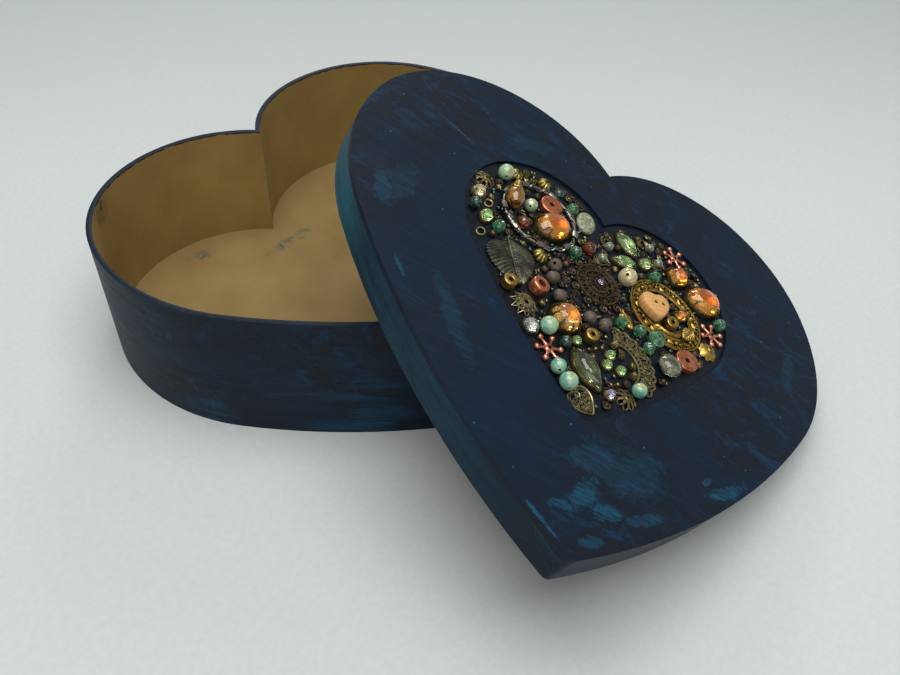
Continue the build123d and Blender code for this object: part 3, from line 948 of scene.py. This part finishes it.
bars = Piece()
for place, size in spots("bead_bars", (38, 32)):
    half = size.x / 2 - 0.6
    bars.add(wire([(-half - 0.4, 0, 0.3), (0, 0, 0.45), (half + 0.4, 0, 0.3)], 0.3, 8), place, 1)
    for k in range(3):
        x = half * (k - 1)
        bars.add(ball(0.55, 10, 14), place @ move(x, 0, 0.75), 0)
        bars.add(wire(ring_of(circle(0.62), 0.35, 16), 0.16, 6, True), place @ move(x), 1)
bars.make("bead_bars", "antique_brass", PALE, BRONZE)


# ---------------------------------------------------------------- leaves
def leaf(length, width, veins, ridge, lift):
    """A pressed metal leaf: stem at the top, veins that run out and down, a toothed edge."""

    def surface(s, u):
        s = 0.012 + 0.976 * s
        half = width / 2 * max(0.02, sin(pi * s ** 0.62)) ** 0.78
        run = (s - 0.17 * abs(u) ** 1.2) * veins
        half *= 1 + 0.05 * ((s - 0.17) * veins % 1.0) * abs(u) ** 6
        rib = abs(cos(pi * run)) ** 2.2 * min(1, abs(u) * 4) * (1 - 0.5 * abs(u) ** 4)
        fold = lift * (1 - abs(u)) ** 1.4
        return half * u, -length * s, 0.55 + fold + ridge * rib - 0.18 * abs(u) ** 3

    return slab(surface, veins * 9, 28, 0.42)


def leaf_piece(node, turns, veins, ridge, lift, material):
    piece = Piece()
    for place, size in spots(node, turns):
        top = place @ move(y=size.y / 2)
        piece.add(leaf(size.y, size.x, veins, ridge, lift), top)
        rib = [(0, 0.3 - size.y * 0.98 * s / 12, 0.66 + lift * 0.9) for s in range(13)]
        stem = wire(rib, lambda s: 0.42 * (1 - 0.7 * s) * size.y / 16 + 0.05, 8, reference=Vector((1, 0, 0)))
        piece.add(stem, top)
        piece.add(wire(ring_of(circle(0.55), 0, 16), 0.2, 6, True), top @ move(0, 0.4, 0.8))
    piece.make(node, "antique_brass", material, sharp=70)


leaf_piece("leaf_charm", (22,), 15, 0.6, 0.5, GUNMETAL)
leaf_piece("gold_leaf", (42, -30), 7, 0.22, 0.3, YELLOW)


# ---------------------------------------------------------------- wire ring
HOOP = 12.2
hoop = Piece()


def round_hoop(angle, out, height):
    """A point beside the hoop's middle line."""
    return (HOOP + out) * cos(angle), (HOOP + out) * sin(angle), 1.1 + height


for place, _ in spots("wire_ring"):
    core = [round_hoop(TAU * i / 96, 0, 0) for i in range(96)]
    hoop.add(wire(core, 0.42, 8, True), place)
    path = []
    for i in range(300):
        a = TAU * i / 300
        path.append(round_hoop(a, 0.7 * cos(17 * a), 0.7 * sin(17 * a)))
    hoop.add(wire(path, 0.24, 6, True), place)
    for k in range(9):
        middle = TAU * k / 9 + 0.1 * sin(5.0 * k)
        path = []
        for i in range(85):
            off, wrap = i / 42 - 1, TAU * i / 12
            reach = 0.9 - 0.12 * abs(off)
            path.append(round_hoop(middle + 0.1 * off, reach * cos(wrap), reach * sin(wrap)))
        hoop.add(wire(path, 0.24, 6), place)
        tail = [round_hoop(middle + 0.1 + 0.02 * i, 0.7 + 0.26 * i, 0.1 + 0.14 * i) for i in range(1, 6)]
        hoop.add(wire([path[-1]] + tail, 0.22, 6), place)
hoop.make("wire_ring", "silver_wire", SILVER)


# ---------------------------------------------------------------- rosette
rose = Piece()
for place, _ in spots("rosette_medallion"):
    rows = [(0, 0.2), (7.4, 0.2), (7.6, 0.45), (7.5, 0.75), (6.9, 0.8), (6.6, 0.55)]
    rows += [(4.9, 0.55), (4.6, 0.8), (3.4, 0.95), (3.0, 0.7), (0, 0.7)]
    rose.add(turned(rows, 64), place)
    for radius, height, thick in ((7.0, 0.95, 0.36), (4.75, 1.15, 0.32), (3.1, 1.2, 0.28), (1.45, 1.45, 0.26)):
        rose.add(wire(ring_of(circle(radius), height, 60), thick, 6, True), place)
    for k in range(12):
        turn = place @ spin(TAU * k / 12)
        rose.add(wire(spiral(5.85, 0, 0.78, 0.22, 2.4, 1.35, 0.95), 0.25, 6), turn)
        rose.add(wire(spiral(6.3, 1.5, 0.5, 0.2, -2.0, -1.1, 0.95), 0.2, 6), turn)
        rose.add(ball(0.42, 8, 12), turn @ move(5.2, 1.35, 0.9))
        rose.add(ball(0.34, 8, 12), turn @ spin(0.13) @ move(3.9, 0, 1.05))
    for k in range(8):
        loop = petal_loop(2.9, 1.5, 1.3, 16)
        rose.add(wire([(x, y, 1.15) for x, y, _ in loop], 0.22, 6, True), place @ spin(TAU * k / 8))
    for k in range(10):
        turn = place @ spin(TAU * k / 10)
        rose.add(wire(ring_of(circle(1.0), 0.55, 20), 0.36, 7, True), turn @ move(8.6))
        rose.add(ball(0.55, 8, 12), turn @ move(8.6, 0, 0.6))
        rose.add(ball(0.42, 8, 12), turn @ spin(TAU / 20) @ move(8.0, 0, 0.6))
rose.make("rosette_medallion", "dark_metal", BRONZE)

violet = Piece()
for place, _ in spots("rosette_stone"):
    violet.add(faceted([(0.5, 0.0), (1.0, 0.3), (0.8, 0.7), (0.5, 0.95)], 8), place, smooth=False)
violet.make("rosette_stone", "peridot_glass", VIOLET_GLASS)


# ---------------------------------------------------------------- filigree
def blade(s, u):
    """A small pointed leaf, for borders."""
    half = 0.62 * max(0.05, sin(pi * s ** 0.8)) ** 0.8
    return 2.3 * s - 1.1, u * half, 0.5 - 0.4 * abs(u)


oval_ring = Piece()
for place, _ in spots("oval_frame", (-35,)):
    inner, outer = oval(18.0, 16.4), oval(25.6, 23.6)
    middle = oval(21.2, 19.4)
    rows = [(-3.6, 0.1), (0.1, 0.1), (0.2, 0.3), (0.0, 0.4), (-3.6, 0.35), (-3.8, 0.25)]
    oval_ring.add(turned(rows, 96, closed=True, outline=outer), place)
    for outline, height, thick in ((outer, 0.75, 0.3), (inner, 0.75, 0.34), (oval(19.8, 18.1), 0.65, 0.2)):
        oval_ring.add(wire(ring_of(outline, height, 90), thick, 6, True), place)
    for k in range(30):
        x, y = middle(k / 30)
        ahead = middle((k + 0.3) / 30)
        along = atan2(ahead[1] - y, ahead[0] - x)
        here = place @ move(x, y, 0.6) @ spin(along)
        if k % 3 == 0:
            oval_ring.add(ball(0.62, 8, 12), here @ move(z=0.2))
        else:
            oval_ring.add(slab(blade, 8, 4, 0.4), here @ spin(0.5 if k % 3 == 1 else -0.5))
        for side in (-1, 1):
            curl = spiral(0.5, side * 1.3, 0.55, 0.16, side * 1.6, side * 1.2, 0.1)
            oval_ring.add(wire(curl, 0.18, 6), here)
            oval_ring.add(ball(0.26, 6, 10), here @ move(-0.7, side * 1.35, 0.15))
    for k in range(13):
        # The low side of the frame is broader: a second row of leaves inside the first.
        a = radians(-105 + 10 * k)
        here = place @ move(7.6 * cos(a), 6.9 * sin(a), 0.7) @ spin(a + 1.2)
        oval_ring.add(slab(blade, 8, 4, 0.4), here @ Matrix.Scale(1.25, 4))
        oval_ring.add(ball(0.38, 8, 12), here @ move(1.5, 0.6, 0.1))
        oval_ring.add(wire(spiral(-1.3, 0.4, 0.7, 0.2, a, 1.3, 0.0), 0.17, 6), here)
oval_ring.make("oval_frame", "antique_brass", YELLOW)

scrolls = Piece()
for k, (place, _) in enumerate(spots("scroll_filigree")):
    for turn in (0, pi):
        arm = spiral(0.0, 0.0, 2.7, 0.9, turn + k, 0.9, 0.5, 20)
        scrolls.add(wire(arm, 0.34, 7), place @ move(z=0.1))
    scrolls.add(wire(ring_of(circle(1.75), 0.45, 30), 0.3, 7, True), place)
    curl = spiral(2.3 * cos(k * 1.3), 2.3 * sin(k * 1.3), 1.1, 0.3, k * 1.3 + 2.6, 1.3, 0.7)
    scrolls.add(wire(curl, 0.28, 6), place)
    scrolls.add(ball(0.5, 8, 12), place @ move(2.4 * cos(k * 1.3), 2.4 * sin(k * 1.3), 0.9))
scrolls.make("scroll_filigree", "antique_brass", ANTIQUE)

fan = Piece()
for place, _ in spots("filigree_fan"):
    low, high = radians(-35), radians(105)

    def arc(radius, z=0.5, count=40, wave=0.0, beats=0):
        rows = []
        for i in range(count + 1):
            a = low + (high - low) * i / count
            r = radius + wave * abs(sin(beats * pi * i / count))
            rows.append((r * cos(a), r * sin(a), z))
        return rows

    # The crescent's own centre, from the foot of its box.
    xs, ys, _ = zip(*arc(6.8, count=60), *arc(12.0, count=60))
    centre = place @ move(-(min(xs) + max(xs)) / 2, -(min(ys) + max(ys)) / 2)

    fan.add(wire(arc(6.9), 0.36, 6), centre)
    fan.add(wire(arc(8.4, 0.55), 0.24, 6), centre)
    fan.add(wire(arc(11.3, 0.6, count=80, wave=0.9, beats=9), 0.34, 6), centre)
    for k in range(15):
        a = low + (high - low) * (k + 0.5) / 15
        turn = centre @ spin(a)
        fan.add(wire([(x + 8.3, y, 0.6) for x, y, _ in petal_loop(3.0, 1.5, 0.1, 14)], 0.22, 6, True), turn)
        fan.add(wire(spiral(7.9, 0.3, 0.42, 0.14, 0.5, 1.2, 0.6), 0.13, 5), turn)
        fan.add(ball(0.3, 6, 10), turn @ spin(0.08) @ move(10.4, 0, 0.65))
    for k in range(6):
        a = low + (high - low) * (k + 0.5) / 6
        fan.add(wire(spiral(9.7 * cos(a), 9.7 * sin(a), 1.2, 0.3, a + 1.5, 1.5, 0.85), 0.26, 6), centre)
fan.make("filigree_fan", "antique_brass", PALE)

charm = Piece()
for place, size in spots("heart_charm", (55,)):
    edge, middle = heart(size.x / 160, 1, 60)
    edge = [Vector((p.x, p.y - middle)) for p in edge]
    charm.add(wire([(p.x, p.y, 0.5) for p in edge], 0.32, 7, True), place)
    charm.add(wire([(p.x * 0.82, p.y * 0.82 + 0.1, 0.5) for p in edge], 0.16, 6, True), place)
    for side in (-1, 1):
        for x, y, r, start, turns in (
            (1.75, 1.3, 1.15, 3.4, 1.5), (0.75, 0.2, 0.62, 0.4, -1.3), (2.6, -0.1, 0.6, 1.2, 1.3),
            (1.4, -1.1, 0.72, 2.6, 1.3), (0.5, -1.9, 0.5, 0.4, -1.2), (0.55, 1.9, 0.4, 1.0, 1.0),
            (2.7, 1.6, 0.4, 4.0, 1.2),
        ):
            rows = [(side * px, py, pz) for px, py, pz in spiral(x, y, r, 0.18, start, turns, 0.6)]
            charm.add(wire(rows, 0.17, 6), place)
            charm.add(ball(0.2, 6, 10), place @ move(side * x, y, 0.65))
    charm.add(wire([(0, 2.2, 0.6), (0, 0, 0.7), (0, -3.2, 0.6)], 0.16, 6), place)
    charm.add(wire(ring_of(circle(0.8), 0, 20), 0.26, 7, True), place @ move(0, size.y / 2 - 1.6, 0.6))
charm.make("heart_charm", "antique_brass", PALE)


# ---------------------------------------------------------------- wooden button and carved disc
def temporary(shape, matrix=Matrix()):
    mesh = bpy.data.meshes.new("work")
    mesh.from_pydata([matrix @ v for v in shape[0]], [], shape[1])
    made = bpy.data.objects.new("work", mesh)
    bpy.context.scene.collection.objects.link(made)
    return made


button = Piece()
for place, size in spots("wooden_heart_button", (18,)):
    (edge, middle), height = heart(size.x / 160, 6, 64), size.z
    rows = [(0.86, 0.0), (0.95, 0.25), (1.0, 0.8), (1.0, height - 1.2), (0.97, height - 0.6)]
    rows += [(0.9, height - 0.2), (0.78, height - 0.02), (0.6, height + 0.12)]
    rows += [(0.4, height + 0.18), (0.2, height + 0.2)]
    verts, faces, count = [Vector((0, 0, 0))], [], len(edge)
    for scale, z in rows:
        verts += [Vector((p.x * scale, (p.y - middle) * scale, z)) for p in edge]
    verts.append(Vector((0, 0, height + 0.2)))
    last = 1 + (len(rows) - 1) * count
    for i in range(count):
        j = (i + 1) % count
        faces.append((0, 1 + j, 1 + i))
        faces += [(a + i, a + j, a + count + j, a + count + i) for a in range(1, last, count)]
        faces.append((last + i, last + j, len(verts) - 1))
    body = temporary((verts, faces))
    for x, y in ((-0.9, 0.5), (1.7, 0.3)):
        drill = temporary(turned([(0.62, -4.0), (0.62, 4.0)], 20), move(x, y, height))
        cut = body.modifiers.new("hole", "BOOLEAN")
        cut.operation, cut.solver, cut.object = "DIFFERENCE", "EXACT", drill
    bpy.context.view_layer.update()
    mesh = bpy.data.meshes.new_from_object(body.evaluated_get(bpy.context.evaluated_depsgraph_get()))
    button.add(([v.co.copy() for v in mesh.vertices], [tuple(p.vertices) for p in mesh.polygons]), place)
    for made in [o for o in bpy.data.objects if o.name.startswith("work")]:
        bpy.data.objects.remove(made)
button.make("wooden_heart_button", "wood", WOOD, sharp=50)

disc = Piece()
for place, size in spots("carved_disc"):
    shape = oval(size.x, size.y)
    rows = [(-0.4, 0.0), (0.0, 0.3), (0.0, 0.9), (-0.25, 1.3), (-0.8, 1.55)]
    verts, faces = turned(rows, 60, outline=shape)
    faces.pop()
    last = list(range(len(verts) - 60, len(verts)))
    rings = [last]
    for share in (0.6, 0.45, 0.3, 0.15):
        start = len(verts)
        for i in range(60):
            x, y = shape(i / 60)
            carve = 0.28 * noise.noise(Vector((x * share * 1.1, y * share * 1.1, 4)))
            carve += 0.12 * cos(5 * TAU * i / 60)
            verts.append(Vector((x * share, y * share, 1.85 + carve)))
        rings.append(list(range(start, start + 60)))
    for low, high in zip(rings, rings[1:]):
        faces += [(low[i], low[(i + 1) % 60], high[(i + 1) % 60], high[i]) for i in range(60)]
    faces.append(tuple(rings[-1]))
    disc.add((verts, faces), place)
disc.make("carved_disc", "carved_stone", STONE, sharp=60)


# ---------------------------------------------------------------- cut stones in their settings
def bezel(piece, place, outline, height, claws, top, scallop):
    """A thin metal wall round a stone, its foiled cup, and claws bent over the stone's edge."""
    thick = 0.34
    rows = [(-0.3, 0.05), (thick, 0.05), (thick, height * 0.55), (thick * 0.85, height * 0.9)]
    rows += [(thick * 0.45, height), (0.02, height * 0.97), (-0.12, height * 0.7), (-0.3, height * 0.4)]

    def waved(angle, r, z):
        share = z / height
        return r, z - (0.28 * height * share * (0.5 - 0.5 * cos(scallop * angle)) if scallop else 0)

    piece.add(turned(rows, 64, waved, True, outline), place)
    cup = [(0, 0.15), (0.55, 0.3), (0.97, height * 0.72), (0.99, height * 0.5), (0.6, 0.08)]
    piece.add(faceted(cup, 12, outline), place, 1, False)
    for k in range(claws):
        flat = Vector((*outline((k + 0.5) / claws), 0))
        out, rise = flat.normalized(), top - height
        path = [flat + out * thick, flat + out * (thick + 0.12) + UP * height * 0.6]
        path += [flat + out * thick * 0.6 + UP * (height + 0.2)]
        path += [flat * 0.93 + UP * (height + rise * 0.45), flat * 0.84 + UP * (height + rise * 0.72)]
        piece.add(wire(path, lambda s: 0.36 - 0.1 * s, 7, reference=out.cross(UP)), place)


def plain(k, size):
    return oval(size.x, size.y)


def pointed(k, size):
    return boat(size.x, size.y)


def mixed(k, size):
    """The first and last amber stones are oval, and the two between them are squarish."""
    return oval(size.x, size.y, 2.0 if k in (0, 3) else 4.5)


def stones(setting, stone, slot, tint, wall, foiled, turns=(), shape=plain, claws=4, sides=12, scallop=0):
    """A set of cut stones and their settings, sized from the CAD nodes."""
    cups, gems = Piece(), Piece()
    for k, ((place, size), (base, cup)) in enumerate(zip(spots(stone, turns), spots(setting, turns))):
        outline = shape(k, size)
        foot = place.copy()
        foot.translation.z = base.translation.z
        top = place.translation.z + size.z - base.translation.z
        bezel(cups, foot, outline, cup.z, claws, top, scallop)
        gems.add(cut_stone(outline, 0.34, cup.z * 0.92, top, sides), foot, smooth=False)
    cups.make(setting, "antique_brass", wall, foiled, sharp=45)
    gems.make(stone, slot, tint)


def rhinestone(name, tint, wall):
    stones(name + "_cup", name + "_rhinestone", "clear_glass", tint, wall, SILVER_FOIL, sides=8)


def green_stones(setting, stone, tint, turns, shape, sides):
    stones(setting, stone, "peridot_glass", tint, ANTIQUE, SILVER_FOIL, turns, shape, 0, sides)


stones(
    "amber_settings", "amber_stones", "amber_glass", AMBER_GLASS, ANTIQUE, GOLD_FOIL,
    (38, 32, 40, 8), mixed,
)
stones(
    "amber_round_setting", "amber_round_stone", "amber_glass", TOPAZ_GLASS, ANTIQUE, GOLD_FOIL,
    claws=8, scallop=8,
)
green_stones("peridot_settings", "peridot_stones", PERIDOT_GLASS, (80, 0, 0, 0, 0, 70), plain, 8)
green_stones("navette_settings", "navette_stones", PERIDOT_GLASS, (12, -40), pointed, 12)
green_stones("large_navette_setting", "large_navette_stone", OLIVE_GLASS, (-46,), pointed, 16)
rhinestone("champagne", CREAM_GLASS, PALE)
rhinestone("clear", CLEAR_GLASS, SILVER)
rhinestone("lavender", VIOLET_GLASS, ANTIQUE)


# ---------------------------------------------------------------- small bits glued in the gaps
def free_space():
    """Tests for a round spot of bare glue between the jewels, and for one away from the recess's edge."""
    verts, faces = [], []
    for name, node in frame["nodes"].items():
        if not name.startswith(("base_", "lid_", "inlay_")):
            start = len(verts)
            verts += [TO_LID @ v.co for v in node.data.vertices]
            faces += [[start + i for i in p.vertices] for p in node.data.polygons]
    tree = BVHTree.FromPolygons(verts, faces)

    def below(x, y, radius):
        """What a ring of eight rays meets on its way down: a point each, or None past the edge."""
        for k in range(8):
            a = TAU * k / 8
            yield tree.ray_cast(Vector((x + radius * cos(a), y + radius * sin(a), CARD + 9)), -UP)[0]

    def bare(x, y, radius):
        return all(p is not None and abs(p.z - GLUE) <= 0.05 for p in below(x, y, radius))

    def well_inside(x, y):
        return all(p is not None for p in below(x, y, 3.4))

    return bare, well_inside


def clear_of(taken, x, y, radius):
    """Far enough from the bits already laid, which may touch a little."""
    return all((x - a) ** 2 + (y - b) ** 2 >= (radius + c) ** 2 * 0.6 for a, b, c in taken)


BIG, SMALL, BIG_TRIES, TRIES = 1.25, 0.62, 3400, 4600
bits = Piece()
(bare, well_inside), taken = free_space(), []
for attempt in range(TRIES):
    radius = BIG if attempt < BIG_TRIES else SMALL
    x, y = dice.uniform(-46, 46), dice.uniform(-66, 20)
    turn, kind, high = dice.uniform(0, TAU), dice.randrange(4), dice.uniform(0.2, 0.9)
    if not (well_inside(x, y) and bare(x, y, radius + 0.15) and clear_of(taken, x, y, radius)):
        continue
    taken.append((x, y, radius))
    here = move(x, y, GLUE + high * 0.5) @ spin(turn) @ tilt(dice.uniform(-16, 16), dice.uniform(-16, 16))
    tone = dice.randrange(3)
    brass = tone % 2
    if radius == SMALL:
        bits.add(drilled(radius * 0.95, 0.2, 8, 12, 0.8), here @ move(z=0.2), tone)
    elif kind == 0:
        bits.add(wire(spiral(0, 0, 1.25, 0.3, 0, 1.6, 0.3), 0.26, 6), here, brass)
        bits.add(ball(0.42, 8, 12), here @ move(z=0.45), brass)
    elif kind == 1:
        bits.add(wire(ring_of(circle(0.95), 0.3, 20), 0.28, 6, True), here, brass)
        bits.add(melon(0.8, 0.9, 7, 0.2, 0.2), here, brass)
    elif kind == 2:
        for k in range(5):
            petal_place = here @ spin(TAU * k / 5) @ move(0.75) @ Matrix.Scale(0.55, 4)
            bits.add(slab(blade, 6, 4, 0.35), petal_place, brass)
        bits.add(ball(0.4, 8, 12), here @ move(z=0.35), brass)
    else:
        bits.add(melon(1.15, 1.3, 8, 0.25, 0.22), here, brass)
bits_mesh = bits.build("glued_bits", BRONZE, ANTIQUE, DEEP_GREEN)
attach(bits_mesh, "lid")


# ---------------------------------------------------------------- the boards that stay as they are in the CAD
def dress(node, *materials, bevel=0.0, edge=None):
    """Give a CAD node its finish, and soften its edges, with a material of their own if one is named."""
    board = frame["nodes"][node]
    board.data.materials.clear()
    for material in materials:
        board.data.materials.append(material)
    if bevel:
        soft = board.modifiers.new("soft_edges", "BEVEL")
        soft.width, soft.segments = bevel * MM, 3
        soft.limit_method, soft.angle_limit = "ANGLE", radians(40)
        soft.use_clamp_overlap = True
        if edge is not None:
            soft.material = edge


LID_PAINT = lid_paint()
dress("lid_top", LID_PAINT, worn_edge(), bevel=0.5, edge=1)
dress("lid_rim", skirt_paint(), bevel=0.25)
dress("inlay_card", LID_PAINT)
dress("glue_bed", glue())
dress("lid_liner", kraft("lid_lining", True))
dress("base_wall", base_paint(), bevel=0.25)
# Paint where the brush strayed: centre, reach and colour.
WALL_SMUDGES = (((-61, 39.5, 43), (6, 9, 8), (13, 24, 36)),)
FLOOR_SMUDGES = (
    ((-30, 39.7, 2.6), (9, 4, 6), (34, 66, 70)),
    ((-3, 21.6, 2.6), (13, 3.2, 6), (40, 70, 70)),
    ((5.4, 21.2, 2.6), (4.4, 3.6, 6), (34, 68, 72)),
)
WALL_KRAFT = kraft("wall_kraft", tint=(0.92, 0.96, 0.84), rim=44.9, smudges=WALL_SMUDGES)
dress("base_wall_liner", WALL_KRAFT, bevel=0.12)
dress("base_floor_card", kraft("floor_kraft", tint=(0.72, 0.78, 0.86), smudges=FLOOR_SMUDGES))
dress("base_floor", kraft("under_kraft"))


# ---------------------------------------------------------------- floor, light and camera
floor_mesh = bpy.data.meshes.new("studio_floor")
floor_mesh.from_pydata([(-4, -4, 0), (4, -4, 0), (4, 4, 0), (-4, 4, 0)], [], [(0, 1, 2, 3)])
floor_mesh.materials.append(backdrop())
studio_floor = bpy.data.objects.new("studio_floor", floor_mesh)
bpy.context.scene.collection.objects.link(studio_floor)

world = bpy.data.worlds.new("studio")
world.use_nodes = True
sky = world.node_tree.nodes["Background"]
sky.inputs["Color"].default_value = (0.80, 0.84, 0.85, 1.0)
sky.inputs["Strength"].default_value = 0.38
bpy.context.scene.world = world
bpy.context.scene.view_settings.view_transform = "Standard"
MIDDLE = (0.0, -0.04, 0.03)


def area_light(name, place, size, watts, colour):
    data = bpy.data.lights.new(name, "AREA")
    data.shape, data.size, data.size_y, data.energy, data.color = "RECTANGLE", size[0], size[1], watts, colour
    lamp = bpy.data.objects.new(name, data)
    lamp.location = place
    lamp.rotation_euler = (Vector(MIDDLE) - Vector(place)).to_track_quat("-Z", "Y").to_euler()
    bpy.context.scene.collection.objects.link(lamp)


area_light("overhead", (-0.06, -0.12, 0.8), (0.7, 0.7), 6.6, (1.0, 0.99, 0.96))
area_light("window", (0.75, 0.55, 0.6), (0.35, 0.3), 2.4, (1.0, 1.0, 1.0))
area_light("fill", (-0.6, -0.7, 0.6), (0.7, 0.5), 1.5, (0.94, 0.97, 1.0))

# The camera: angles in radians, and distance and target in millimetres.
AZIMUTH, ELEVATION, ROLL = -0.9240, 0.7477, 0.0404
DISTANCE, FOCAL_PX, PICTURE_WIDTH, SENSOR = 401.16, 863.86, 900, 36.0
TARGET = Vector((66.82, -4.717, -63.29))
back = Vector((sin(AZIMUTH) * cos(ELEVATION), -cos(AZIMUTH) * cos(ELEVATION), sin(ELEVATION)))
level = (-back).cross(UP).normalized()
upward = level.cross(-back)
right = level * cos(ROLL) + upward * sin(ROLL)
above = upward * cos(ROLL) - level * sin(ROLL)
lens = bpy.data.cameras.new("camera")
lens.sensor_width, lens.lens, lens.shift_y = SENSOR, FOCAL_PX * SENSOR / PICTURE_WIDTH, -0.0349
lens.clip_start, lens.clip_end = 0.01, 50
camera = bpy.data.objects.new("camera", lens)
turned_to = Matrix((right, above, back)).transposed().to_4x4()
camera.matrix_world = Matrix.Translation((TARGET + back * DISTANCE) * MM) @ turned_to
bpy.context.scene.collection.objects.link(camera)
bpy.context.scene.camera = camera
